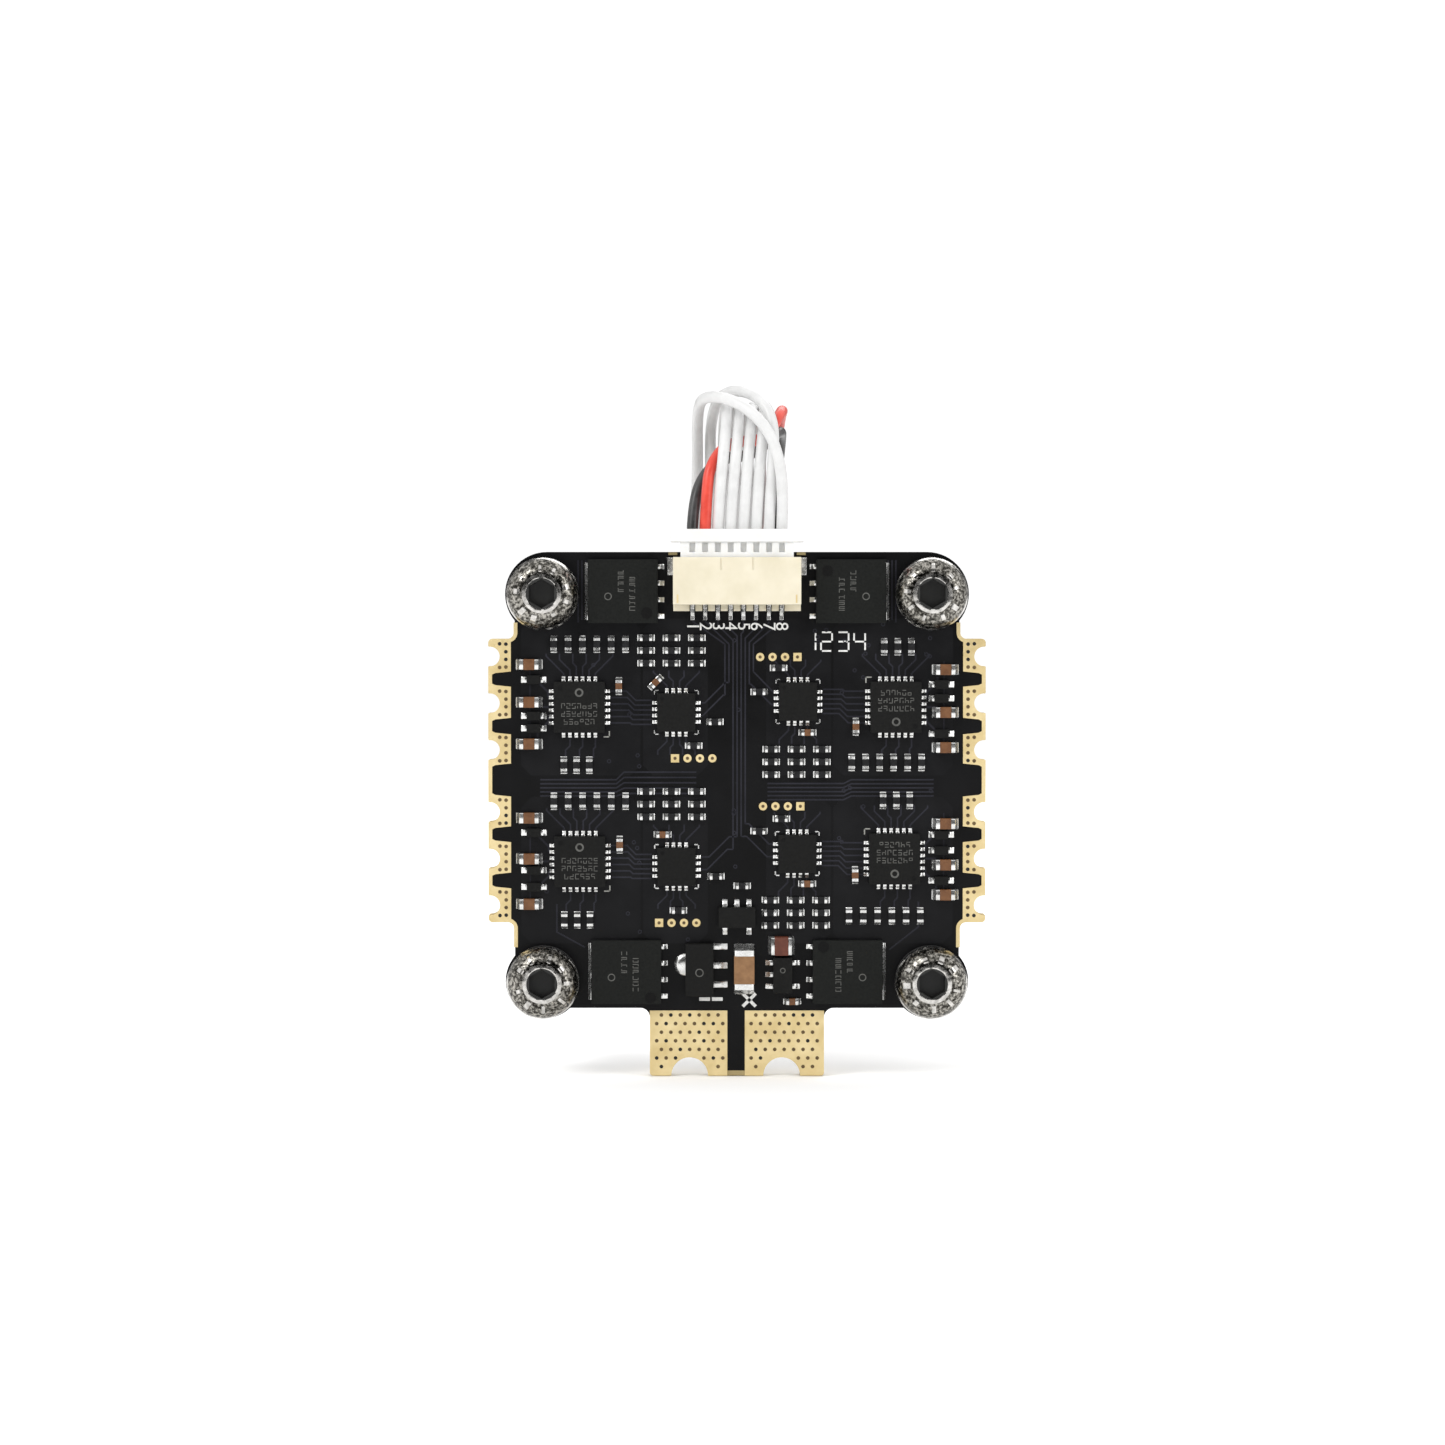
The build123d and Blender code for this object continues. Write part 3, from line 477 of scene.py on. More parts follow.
def solids_of(node):
    """The separate solids of a CAD node, found from its mesh."""
    mesh = nodes[node].data
    home = {}
    points = []
    number = []
    for vertex in mesh.vertices:
        key = tuple(round(value / (0.001 * MM)) for value in vertex.co)
        if key not in home:
            home[key] = len(points)
            points.append(vertex.co.copy())
        number.append(home[key])
    parent = list(range(len(points)))

    def root(index):
        while parent[index] != index:
            parent[index] = parent[parent[index]]
            index = parent[index]
        return index

    for polygon in mesh.polygons:
        corners = [number[index] for index in polygon.vertices]
        for corner in corners[1:]:
            parent[root(corner)] = root(corners[0])
    groups = {}
    for index in range(len(points)):
        groups.setdefault(root(index), []).append(index)
    directions = {}
    for polygon in mesh.polygons:
        corners = [number[index] for index in polygon.vertices]
        group = root(corners[0])
        for start, end in zip(corners, corners[1:] + corners[:1]):
            edge = points[end] - points[start]
            flat = Vector((edge.x, 0, edge.z))
            if abs(edge.y) < 0.01 * MM and flat.length > directions.get(group, Vector()).length:
                slope = abs(math.degrees(math.atan2(flat.z, flat.x))) % 90
                if slope < 1 or slope > 89 or abs(slope - 45) < 1 and len(groups[group]) == 8:
                    directions[group] = flat
    found = []
    for group, members in groups.items():
        flat = directions.get(group, Vector((1, 0, 0)))
        if abs(abs(flat.x) - abs(flat.z)) > 0.2 * flat.length:
            flat = Vector((1, 0, 0))
        found.append(Solid([points[index] for index in members], flat.normalized()))
    return found


def nearest(place, solids):
    return min(solids, key=lambda solid: (solid.centre - place).length)


def outward(terminal, body, square):
    """Direction from a package to its terminal, along one of the terminal's own directions."""
    away = terminal.centre - body.centre
    along = away.dot(terminal.along)
    across = away.dot(terminal.across)
    if square:
        along /= body.length
        across /= body.width
    if abs(along) >= abs(across):
        return terminal.along * math.copysign(1, along), terminal.length, terminal.width
    return terminal.across * math.copysign(1, across), terminal.width, terminal.length


def profile_bar(shape, solid, direction, length, width, profile, steps, jitter):
    """A lofted bar: profile points are (share of length outwards, share of height)."""
    rear = solid.low > REAR_Y - 0.2 * MM
    base = solid.low if rear else solid.high
    lift = Vector((0, 1 if rear else -1, 0))
    height = solid.high - solid.low
    side = direction.cross(Vector((0, 1, 0)))
    start = solid.centre - direction * (length / 2)
    rings = []
    for share, shrink in steps:
        wobble = 1 - jitter * random.random()
        ring = []
        for out, up in profile:
            lifted = up * height * (shrink if up > 0.02 else 1) * (wobble if out > 0.5 else 1)
            point = start + direction * (out * length * (1 - (1 - shrink) * 0.25))
            point = point + side * (share * width) + lift * lifted
            ring.append((point.x, base + lift.y * lifted, point.z))
        rings.append(ring)
    shape.rings(rings)


CHIP_END = [(0, 0), (0, 1), (0.5, 1), (0.57, 0.94), (0.62, 0.72), (0.7, 0.42), (0.82, 0.2), (1, 0.08), (1, 0)]
LEAD_END = [(0, 0), (0, 0.96), (0.2, 1), (0.42, 0.86), (0.62, 0.5), (0.82, 0.22), (1, 0.08), (1, 0)]
ROUNDED = [(-0.5, 0.72), (-0.46, 0.93), (-0.36, 1), (0, 1), (0.36, 1), (0.46, 0.93), (0.5, 0.72)]


def half_dome(shape, solid, direction):
    """A half-round solder lump whose flat side faces its package."""
    length = min(solid.length, solid.width)
    radius = max(solid.length, solid.width) / 2
    side = direction.cross(Vector((0, 1, 0)))
    start = solid.centre - direction * (length / 2)
    rings = []
    for share in (1.0, 0.94, 0.8, 0.6, 0.35):
        height = (solid.high - solid.low) * (1 - share ** 3) + (0 if share == 1.0 else 0.02 * MM)
        ring = []
        for step in range(17):
            angle = math.pi * (step / 16 - 0.5)
            place = start + direction * (length * share * math.cos(angle)) + side * (radius * share * math.sin(angle))
            ring.append((place.x, solid.high - min(height, solid.high - solid.low), place.z))
        rings.append(ring)
    shape.rings(rings)


def corner_bracket(shape, solid, package):
    """A thin L-shaped land at a package's corner."""
    out_x = math.copysign(1, solid.centre.x - package.centre.x)
    out_z = math.copysign(1, solid.centre.z - package.centre.z)
    tip = solid.centre + Vector((out_x, 0, out_z)) * (0.12 * MM)
    leg = 0.36 * MM
    stroke = 0.09 * MM
    for across, upright in ((leg, stroke), (stroke, leg)):
        corners = [(0, 0), (across, 0), (across, upright), (0, upright)]
        outline = [(tip.x - out_x * x, tip.z - out_z * z) for x, z in corners]
        shape.rings([[(x, y, z) for x, z in outline] for y in (solid.high, solid.high - 0.05 * MM)])


def soldered_ends(name, terminals, bodies, profile, square=False, jitter=0.12, narrow=1.0, brackets=False):
    """Solder joints in place of a node's plain blocks."""
    packages = [solid for node in bodies for solid in solids_of(node)]
    shape = Shape()
    for terminal in solids_of(terminals):
        package = nearest(terminal.centre, packages)
        direction, length, width = outward(terminal, package, square)
        if terminal.sides > 20:
            half_dome(shape, terminal, direction)
        elif brackets and abs(terminal.along.x * terminal.along.z) > 0.4:
            corner_bracket(shape, terminal, package)
        else:
            profile_bar(shape, terminal, direction, length, width * narrow, profile, ROUNDED, jitter)
    shape.piece(name, SOLDER, "board", "tinned_metal", smooth=35, replaces=[terminals])


def drain_bars(name, terminals, bodies):
    """Transistor leads, and the long drain bars with a lumpy solder bead."""
    packages = [solid for node in bodies for solid in solids_of(node)]
    shape = Shape()
    for terminal in solids_of(terminals):
        package = nearest(terminal.centre, packages)
        direction, length, width = outward(terminal, package, False)
        direction = Vector((math.copysign(1, terminal.centre.x - package.centre.x), 0, 0))
        length, width = terminal.length, terminal.width
        steps = ROUNDED
        jitter = 0.15
        if width > 2 * MM:
            shares = [index / 18 - 0.5 for index in range(19)]
            steps = [(share, 0.75 if abs(share) > 0.49 else random.uniform(0.82, 1.0)) for share in shares]
            jitter = 0.45
        profile_bar(shape, terminal, direction, length, width, LEAD_END, steps, jitter)
    shape.piece(name, SOLDER, "board", "tinned_metal", smooth=40, replaces=[terminals])


def dress(node, material, bevel=0.0, segments=2):
    """Give a CAD node its material and, with a modifier only, softened edges."""
    thing = nodes[node]
    thing.data.materials.clear()
    thing.data.materials.append(material)
    if bevel:
        weld = thing.modifiers.new("weld", "WELD")
        weld.merge_threshold = 0.0005 * MM
        soften = thing.modifiers.new("bevel", "BEVEL")
        soften.width = bevel
        soften.segments = segments
        soften.limit_method = "ANGLE"
        soften.angle_limit = math.radians(40)
        soften.harden_normals = False
    return thing


def numbered(stem, count=4):
    return [f"{stem}_{number}" for number in range(1, count + 1)]


# ---- board and copper ----
def dress_board():
    """Mask on both faces, bare laminate on the cut edges and the tip of the tab."""
    board = dress("board", MASK)
    board.data.materials.append(LAMINATE)
    for polygon in board.data.polygons:
        polygon.material_index = 0 if abs(polygon.normal.y) > 0.5 else 1


# the two larger capacitors on the component side, beside the supply chips
TAN_CAPACITOR = Vector((0.57 * MM, FRONT_Y - 0.75 * MM, -14.3 * MM))
RED_CAPACITOR = Vector((3.5 * MM, FRONT_Y - 0.6 * MM, -12.5 * MM))

dress_board()
for node in ["edge_plating", "battery_pad_negative", "battery_pad_positive", "test_pads", *numbered("motor_pads")]:
    dress(node, GOLD)
for node in numbered("grommet"):
    dress(node, RUBBER)
dress("header_housing", IVORY, 0.05 * MM)
dress("plug_housing", CLEAR_NYLON, 0.05 * MM)
dress("far_plug_housing", CLEAR_NYLON, 0.05 * MM)
for node in ["header_contacts", "plug_contacts", "far_plug_contacts"]:
    dress(node, SOLDER, 0.02 * MM)
for node in numbered("motor_controller") + numbered("gate_driver"):
    dress(node, EPOXY, 0.05 * MM)
for node in numbered("front_mosfet") + ["rear_mosfets"]:
    dress(node, MOSFET_EPOXY, 0.07 * MM)
for node in ["voltage_regulator", "current_sense_amplifier", "buck_converter", "diodes"]:
    dress(node, EPOXY, 0.08 * MM)
dress("chip_resistors", RESISTOR_BLACK, 0.03 * MM)
dress("shunt_resistor", RESISTOR_BLACK, 0.06 * MM)
capacitors = dress("chip_capacitors", BROWN, 0.04 * MM)
capacitors.data.materials.append(TAN)
capacitors.data.materials.append(RED_BROWN)
for polygon in capacitors.data.polygons:
    if (polygon.center - TAN_CAPACITOR).length < 2 * MM:
        polygon.material_index = 1
    elif (polygon.center - RED_CAPACITOR).length < 1.5 * MM:
        polygon.material_index = 2
dress("bulk_capacitors", TAN, 0.08 * MM)

# ---- solder ----
soldered_ends("resistor_solder", "chip_resistor_terminals", ["chip_resistors"], CHIP_END)
soldered_ends("capacitor_solder", "chip_capacitor_terminals", ["chip_capacitors", "bulk_capacitors"], CHIP_END)
soldered_ends("diode_solder", "diode_terminals", ["diodes"], LEAD_END, narrow=0.68)
soldered_ends("controller_solder", "motor_controller_terminals", numbered("motor_controller"), LEAD_END, brackets=True)
soldered_ends("driver_solder", "gate_driver_terminals", numbered("gate_driver"), LEAD_END)
small_chips = ["voltage_regulator", "current_sense_amplifier", "buck_converter"]
soldered_ends("small_chip_solder", "small_chip_leads", small_chips, LEAD_END, square=True)
drain_bars("front_mosfet_solder", "front_mosfet_terminals", numbered("front_mosfet"))
drain_bars("rear_mosfet_solder", "rear_mosfet_terminals", ["rear_mosfets"])


# ---- screws ----
HEAD_HEIGHT = 1.65
HEAD_RADIUS = 2.85
SOCKET_HALF = 1.0
SOCKET_DEPTH = 1.04
SHANK_RADIUS = 1.34
THREAD_CREST = 1.5
THREAD_ROOT = 1.25
THREAD_PITCH = 0.5
SCREW_SIDES = 72
INNER_RIM = 1.46
OUTER_RIM = 2.76
# the head's outline from the socket's bevel down to its seat: radius and height over the seat
HEAD_PROFILE = [
    (1.22, 1.64), (1.34, 1.65), (1.55, 1.62), (1.75, 1.57), (1.95, 1.49), (2.12, 1.39), (2.28, 1.27), (2.42, 1.13),
    (2.54, 0.97), (2.65, 0.79), (2.74, 0.59), (2.81, 0.38), (2.85, 0.22), (2.85, 0.05), (2.8, 0.0),
]


def dome_height(radius):
    """Height of the head over its seat at a radius."""
    for (r_in, h_in), (r_out, h_out) in zip(HEAD_PROFILE, HEAD_PROFILE[1:]):
        if r_in <= radius <= r_out:
            return h_in + (h_out - h_in) * (radius - r_in) / (r_out - r_in)
    return 0.0


def hexagon_radius(angle):
    """Distance to the socket's wall, corners up and down."""
    return SOCKET_HALF / math.cos((angle + math.pi / 6) % (math.pi / 3) - math.pi / 6)


def detailed_screw(number):
    """Button-head screw: rough plated dome, hexagon socket, raised ticks and a real thread."""
    node = f"screw_{number}"
    low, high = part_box(node)
    centre_x = (low.x + high.x) / 2
    centre_z = (low.z + high.z) / 2
    seat_y = low.y + HEAD_HEIGHT * MM
    angles = [index * 2 * math.pi / SCREW_SIDES for index in range(SCREW_SIDES)]
    spin = random.uniform(0, 2 * math.pi)

    def at(angle, radius, height):
        """A point at a height over the seat, in millimetres, towards the component side."""
        x = centre_x + radius * MM * math.cos(angle)
        z = centre_z + radius * MM * math.sin(angle)
        return (x, seat_y - height * MM, z)

    def lumps(angle, radius, height):
        place = Vector((radius * math.cos(angle), radius * math.sin(angle), height + 7.3 * number))
        return 0.030 * mathutils.noise.noise(place * 3.1) + 0.018 * mathutils.noise.noise(place * 7.7)

    socket_floor = HEAD_HEIGHT - SOCKET_DEPTH
    rings = [[at(angle, hexagon_radius(angle) * share, socket_floor) for angle in angles] for share in (0.3, 1)]
    rings.append([at(angle, hexagon_radius(angle), HEAD_HEIGHT - 0.1) for angle in angles])
    for radius, height in HEAD_PROFILE:
        ring = []
        for angle in angles:
            sunk = max(0.0, lumps(angle, radius, height) + 0.02) if 1.3 < radius and height > 0.3 else 0.0
            ring.append(at(angle, radius - 0.4 * sunk, height - sunk))
        rings.append(ring)
    rings.append([at(angle, SHANK_RADIUS, 0) for angle in angles])
    shank_end = seat_y / MM
    rings.append([at(angle, SHANK_RADIUS, shank_end + 0.3) for angle in angles])
    tip = (seat_y - high.y) / MM
    steps = round((shank_end - tip) / THREAD_PITCH * 8)
    for step in range(steps + 1):
        height = shank_end + (tip - shank_end) * step / steps
        fade = min(1.0, (height - tip) / 0.45, (shank_end - height) / 0.35)
        ring = []
        for angle in angles:
            turn = (height / THREAD_PITCH + angle / (2 * math.pi)) % 1
            flank = min(1.0, max(0.0, 2.6 * abs(turn - 0.5) - 0.15))
            radius = THREAD_ROOT + (THREAD_CREST - THREAD_ROOT) * flank * fade
            if height - tip < 0.3:
                radius = min(radius, THREAD_ROOT - 0.3 + (height - tip))
            ring.append(at(angle, radius, height))
        rings.append(ring)
    shape = Shape()
    shape.rings(rings)
    skin_faces = len(shape.faces)

    for tick in range(9):
        middle = spin + tick * 2 * math.pi / 9 + random.uniform(-0.12, 0.12)
        half = random.uniform(0.045, 0.11)
        inner, outer = 1.72, random.uniform(2.1, 2.42)
        bars = []
        for step in range(5):
            radius = inner + (outer - inner) * step / 4
            top = min(dome_height(radius) + (0.07 if 0 < step < 4 else 0.0), HEAD_HEIGHT)
            base = dome_height(radius) - 0.12
            corners = [(-half, base), (-half, top), (half, top), (half, base)]
            bars.append([at(middle + turn * 2 / radius, radius, height) for turn, height in corners])
        shape.rings(bars)
    piece = shape.piece(f"{node}_plated", NICKEL, node, "nickel_steel", smooth=38, replaces=[node])
    piece.data.materials.append(SOCKET_SHADE)
    piece.data.materials.append(THREAD)
    piece.data.materials.append(RIM_HIGHLIGHT)
    floor_y = seat_y - socket_floor * MM
    for polygon in piece.data.polygons:
        off_axis = math.hypot(polygon.center.x - centre_x, polygon.center.z - centre_z) / MM
        # painted shade: the socket's walls and floor take the near-black socket material
        if off_axis < 1.2 and seat_y - HEAD_HEIGHT * MM < polygon.center.y < floor_y + 0.01 * MM:
            polygon.material_index = 1
        elif polygon.center.y > seat_y:
            polygon.material_index = 2
        # painted highlight: the socket's bevel, the head's outer edge and the raised ticks take the brighter nickel
        elif polygon.index >= skin_faces or off_axis < INNER_RIM or off_axis > OUTER_RIM:
            polygon.material_index = 3


for number in range(1, 5):
    detailed_screw(number)


# ---- marks, vias and tracks ----
class Face:
    """One face of the board or the top of a package, which thin raised marks are laid on."""

    def __init__(self, y, rear=False):
        self.y = y
        self.out = 1 if rear else -1

    def point(self, x, z, height):
        return (x * MM, self.y + self.out * height * MM, z * MM)

    def prism(self, shape, outline, proud, sunk=0.01):
        """A flat closed shape, its outline given in millimetres."""
        shape.rings([[self.point(x, z, height) for x, z in outline] for height in (-sunk, proud)])

    def bar(self, shape, x, z, width, height, proud=0.012):
        corners = [(-1, -1), (1, -1), (1, 1), (-1, 1)]
        self.prism(shape, [(x + i * width / 2, z + j * height / 2) for i, j in corners], proud)

    def disc(self, shape, x, z, radius, proud=0.012, sides=16):
        angles = [index * 2 * math.pi / sides for index in range(sides)]
        self.prism(shape, [(x + radius * math.cos(a), z + radius * math.sin(a)) for a in angles], proud)

    def ring(self, shape, x, z, inner, outer, proud=0.015, sides=20):
        """A low flat ring."""
        sections = [(inner, -0.01), (inner, proud), (outer, proud), (outer, -0.01)]
        points = []
        faces = []
        for index in range(sides):
            angle = index * 2 * math.pi / sides
            for radius, height in sections:
                points.append(self.point(x + radius * math.cos(angle), z + radius * math.sin(angle), height))
            after = (index + 1) % sides
            for side in range(4):
                beyond = (side + 1) % 4
                faces.append((4 * index + side, 4 * after + side, 4 * after + beyond, 4 * index + beyond))
        shape.add(points, faces)

    def track(self, shape, route, width=0.13, proud=0.010):
        """A flat line with mitred corners."""
        places = [Vector(place) for place in route]
        left = []
        right = []
        for index, place in enumerate(places):
            before = places[max(index - 1, 0)]
            after = places[min(index + 1, len(places) - 1)]
            run_in = (place - before).normalized() if place != before else (after - place).normalized()
            run_out = (after - place).normalized() if after != place else run_in
            side_in = Vector((-run_in.y, run_in.x))
            side_out = Vector((-run_out.y, run_out.x))
            mitre = (side_in + side_out).normalized()
            reach = width / 2 / max(0.5, mitre.dot(side_in))
            left.append(place + mitre * reach)
            right.append(place - mitre * reach)
        for index in range(len(places) - 1):
            outline = [left[index], left[index + 1], right[index + 1], right[index]]
            self.prism(shape, [tuple(corner) for corner in outline], proud)

    def text(self, shape, words, x, z, size, angle=0.0, proud=0.012):
        """Generic numbers, from Blender's own font."""
        curve = bpy.data.curves.new("words", "FONT")
        curve.body = words
        curve.size = size
        curve.align_x = "CENTER"
        curve.align_y = "CENTER"
        curve.resolution_u = 3
        curve.extrude = (proud + 0.01) / 2
        writing = bpy.data.objects.new("words", curve)
        mesh = bpy.data.meshes.new_from_object(writing)
        points = []
        turn_cos = math.cos(angle)
        turn_sin = math.sin(angle)
        for vertex in mesh.vertices:
            across = -self.out * vertex.co.x
            level = vertex.co.z + (proud - 0.01) / 2
            px = x + across * turn_cos - vertex.co.y * turn_sin
            pz = z + across * turn_sin + vertex.co.y * turn_cos
            points.append(self.point(px, pz, level))
        shape.add(points, [tuple(polygon.vertices) for polygon in mesh.polygons])
        bpy.data.objects.remove(writing)
        bpy.data.curves.remove(curve)
        bpy.data.meshes.remove(mesh)


FRONT_FACE = Face(FRONT_Y)
REAR_FACE = Face(REAR_Y, rear=True)
DIGIT_BARS = {
    "0": "abcdef", "1": "bc", "2": "abdeg", "3": "abcdg", "4": "bcfg",
    "5": "acdfg", "6": "acdefg", "7": "abc", "8": "abcdefg", "9": "abcdfg",
}


def segment_digit(shape, face, digit, x, z, width, height, stroke):
    """A seven-bar digit."""
    half_width = (width - stroke) / 2
    half_height = (height - stroke) / 2
    gap = 0.15
    upright = (stroke, half_height - gap)
    level = (width - stroke - gap, stroke)
    places = {
        "a": (0, half_height, level), "g": (0, 0, level), "d": (0, -half_height, level),
        "f": (-half_width, half_height / 2, upright), "b": (half_width, half_height / 2, upright),
        "e": (-half_width, -half_height / 2, upright), "c": (half_width, -half_height / 2, upright),
    }
    for name in DIGIT_BARS[digit]:
        dx, dz, size = places[name]
        face.bar(shape, x + dx, z + dz, *size)


def mark_glyph(shape, face, x, z, width, height, stroke=0.06):
    """A meaningless mark: four of a digit's seven bars, chosen at random."""
    half_width = (width - stroke) / 2
    half_height = (height - stroke) / 2
    bars = [(0, shift * half_height, width, stroke) for shift in (-1, 0, 1)]
    bars += [(i * half_width, j * half_height / 2, stroke, half_height) for i in (-1, 1) for j in (-1, 1)]
    for dx, dz, bar_width, bar_height in random.sample(bars, 4):
        face.bar(shape, x + dx, z + dz, bar_width, bar_height, 0.004)


def package_top(node):
    """The top face and the centre, in millimetres, of a package on the component side."""
    low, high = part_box(node)
    return Face(low.y), (low.x + high.x) / 2 / MM, (low.z + high.z) / 2 / MM


def print_marks():
    """White print: generic pin numbers, a row of bar digits and the supply polarity."""
    shape = Shape()
    for index in range(8):
        FRONT_FACE.text(shape, str(index + 1), index - 3.5, 12.7, 1.4, math.radians(-90))
    for index, digit in enumerate("1234"):
        segment_digit(shape, FRONT_FACE, digit, 5.75 + index * 1.3, 11.5, 1.0, 1.6, 0.13)
    for x in (-2.55, -1.55):
        FRONT_FACE.bar(shape, x, -16.7, 0.85, 0.28)
    for angle in (45, 135):
        reach = 0.72
        dx = reach * math.cos(math.radians(angle))
        dz = reach * math.sin(math.radians(angle))
        FRONT_FACE.track(shape, [(0.97 - dx, -16.77 - dz), (0.97 + dx, -16.77 + dz)], 0.25, 0.012)
    REAR_FACE.bar(shape, -2.1, -16.8, 1.3, 0.28)
    REAR_FACE.bar(shape, 2.1, -16.8, 1.3, 0.28)
    REAR_FACE.bar(shape, 2.1, -16.8, 0.28, 1.3)
    for words, x, z in (("1", 16.6, 0.6), ("2", 16.6, -11.6), ("3", -16.6, 0.6), ("4", -16.6, -11.6)):
        REAR_FACE.text(shape, words, x, z, 1.3)
    shape.piece("board_print", SILK, "board", "solder_mask")


def package_marks():
    """Faint laser marks on the packages, as plain dashes, and the round pin-one dimples."""
    laser = Shape()
    dimples = Shape()
    for number, dimple in zip(range(1, 5), [(1.87, -1.7), (-1.87, 1.6), (1.92, -2.0), (-1.92, 2.0)]):
        face, x, z = package_top(f"front_mosfet_{number}")
        side = math.copysign(1, -x)
        for column, (count, offset) in enumerate(((4, 0.9), (6, 0.35))):
            for index in range(count):
                mark_glyph(laser, face, x + side * (-0.15 + 0.9 * column), z + offset - index * 0.46 + 0.6, 0.46, 0.34)
        face.ring(laser, x - side * 1.15, z - 0.4, 0.22, 0.30, 0.004)
        face.disc(dimples, x + dimple[0], z + dimple[1], 0.40, 0.003, 24)
        face.ring(dimples, x + dimple[0], z + dimple[1], 0.40, 0.44, 0.012, 24)
    for number in range(1, 5):
        face, x, z = package_top(f"gate_driver_{number}")
        side = math.copysign(1, -x)
        for row, count in enumerate((7, 7, 6)):
            for index in range(count):
                place = x + (index - (count - 1) / 2) * 0.42
                mark_glyph(laser, face, place, z + side * (0.1 - row * 0.62), 0.30, 0.44)
        face.ring(laser, x, z + side * 1.15, 0.20, 0.34, 0.004)
        face.disc(dimples, x - side * 1.5, z + side * 1.5, 0.2, 0.003)
    for number in range(1, 5):
        face, x, z = package_top(f"motor_controller_{number}")
        face.disc(dimples, x - 1.1, z + 1.1, 0.16, 0.003)
    face, x, z = package_top("voltage_regulator")
    face.ring(laser, x, z - 0.2, 0.25, 0.33, 0.004)
    face, x, z = package_top("buck_converter")
    face.ring(laser, x, z + 0.4, 0.15, 0.22, 0.004)
    for package in solids_of("rear_mosfets"):
        face = Face(package.high, rear=True)
        x, z = package.centre.x / MM, package.centre.z / MM
        side = math.copysign(1, x)
        for column, count in enumerate((4, 6)):
            for index in range(count):
                place = z + ((count - 1) / 2 - index) * 0.46
                mark_glyph(laser, face, x - side * (0.2 + 0.9 * column), place, 0.46, 0.34)
        face.ring(laser, x + side * 1.0, z - 0.5, 0.22, 0.30, 0.004)
        face.disc(dimples, x - side * 1.9, z - side * 1.75, 0.40, 0.003, 24)
        face.ring(dimples, x - side * 1.9, z - side * 1.75, 0.40, 0.44, 0.012, 24)
    laser.piece("laser_marks", LASER, "board", "black_epoxy")
    dimples.piece("package_dimples", DIMPLE, "board", "black_epoxy", smooth=30)


def corner_marks():
    """Printed corners beside the gate drivers."""
    shape = Shape()
    for number in range(1, 5):
        _, x, z = package_top(f"gate_driver_{number}")
        side = math.copysign(1, -x)
        corner_x, corner_z = x + side * 2.35, z - side * 2.35
        FRONT_FACE.bar(shape, corner_x - side * 0.2, corner_z, 0.5, 0.1)
        FRONT_FACE.bar(shape, corner_x, corner_z + side * 0.2, 0.1, 0.5)
    shape.piece("corner_marks", GREY_PRINT, "board", "solder_mask")


VIA_RADIUS = 0.15
VIA_PITCH = 0.745
VIA_ROWS = 7
VIA_TOP = -17.95


# the four rows of test pads, each by its first pad's centre, and the solder dimple in every pad
TEST_PAD_ROWS = [(1.82, 10.29), (-4.88, 2.31), (2.05, -1.47), (-6.14, -10.67)]
TEST_PAD_PITCH = 0.98
TEST_PAD_DIMPLE = 0.13


def pad_vias():
    """Plated holes over the battery pads and motor pads: a low rim round a filled hole, and round each open hole a
    near-black disc of painted shade.
    """
    rims = Shape()
    holes = Shape()
    filled = Shape()
    faces = [Face(PAD_FRONT_Y), Face(PAD_REAR_Y, rear=True)]
    places = []
    for row in range(VIA_ROWS):
        z = VIA_TOP - row * 0.68
        for column in range(-9, 10):
            x = column * VIA_PITCH + (row % 2) * VIA_PITCH / 2
            notch = min(math.hypot(x - NOTCH_X[0], z - TAB_LOW), math.hypot(x - NOTCH_X[1], z - TAB_LOW))
            if 1.05 < abs(x) < 6.55 and notch > 1.75:
                places.append((x, z, random.random() < 0.24))
    for side in (-1, 1):
        for notch_z in MOTOR_NOTCH_Z:
            for offset in (-0.9, -0.3, 0.3, 0.9):
                z = notch_z + offset
                places.append((side * 18.19, z, abs(z) > 10 or random.random() < 0.12))
            for offset in (-0.93, 0.93):
                z = notch_z + offset
                places.append((side * 18.68, z, abs(z) > 10))
    for face in faces:
        for x, z, dark in places:
            face.ring(rims, x, z, VIA_RADIUS, VIA_RADIUS + 0.05, 0.010, 16)
            # painted shade: open holes get a near-black disc instead of a hole
            face.disc(holes if dark else filled, x, z, VIA_RADIUS, 0.003, 12)
    for first_x, z in TEST_PAD_ROWS:
        for index in range(4):
            faces[0].disc(filled, first_x + index * TEST_PAD_PITCH, z, TEST_PAD_DIMPLE, 0.003, 12)
    rims.piece("via_rims", GOLD, "board", "gold_plating")
    holes.piece("via_holes", HOLE_SHADE, "board", "gold_plating")
    filled.piece("via_fill", BRONZE, "board", "gold_plating")




# ---- tracks under the mask ----
PIN_TOE_Z = 13.1
BUS_TOP = 11.3
BUS_FIRST_X = -0.95
BUS_PITCH = 0.32


def jog(start, end, level_first=True):
    """A track with one 45-degree slope in its middle."""
    (x0, z0), (x1, z1) = start, end
    dx, dz = x1 - x0, z1 - z0
    if level_first:
        run = max(0.0, abs(dx) - abs(dz)) / 2
        step = math.copysign(run, dx)
        return [start, (x0 + step, z0), (x1 - step, z1), end]
    run = max(0.0, abs(dz) - abs(dx)) / 2
    step = math.copysign(run, dz)
    return [start, (x0, z0 + step), (x1, z1 - step), end]


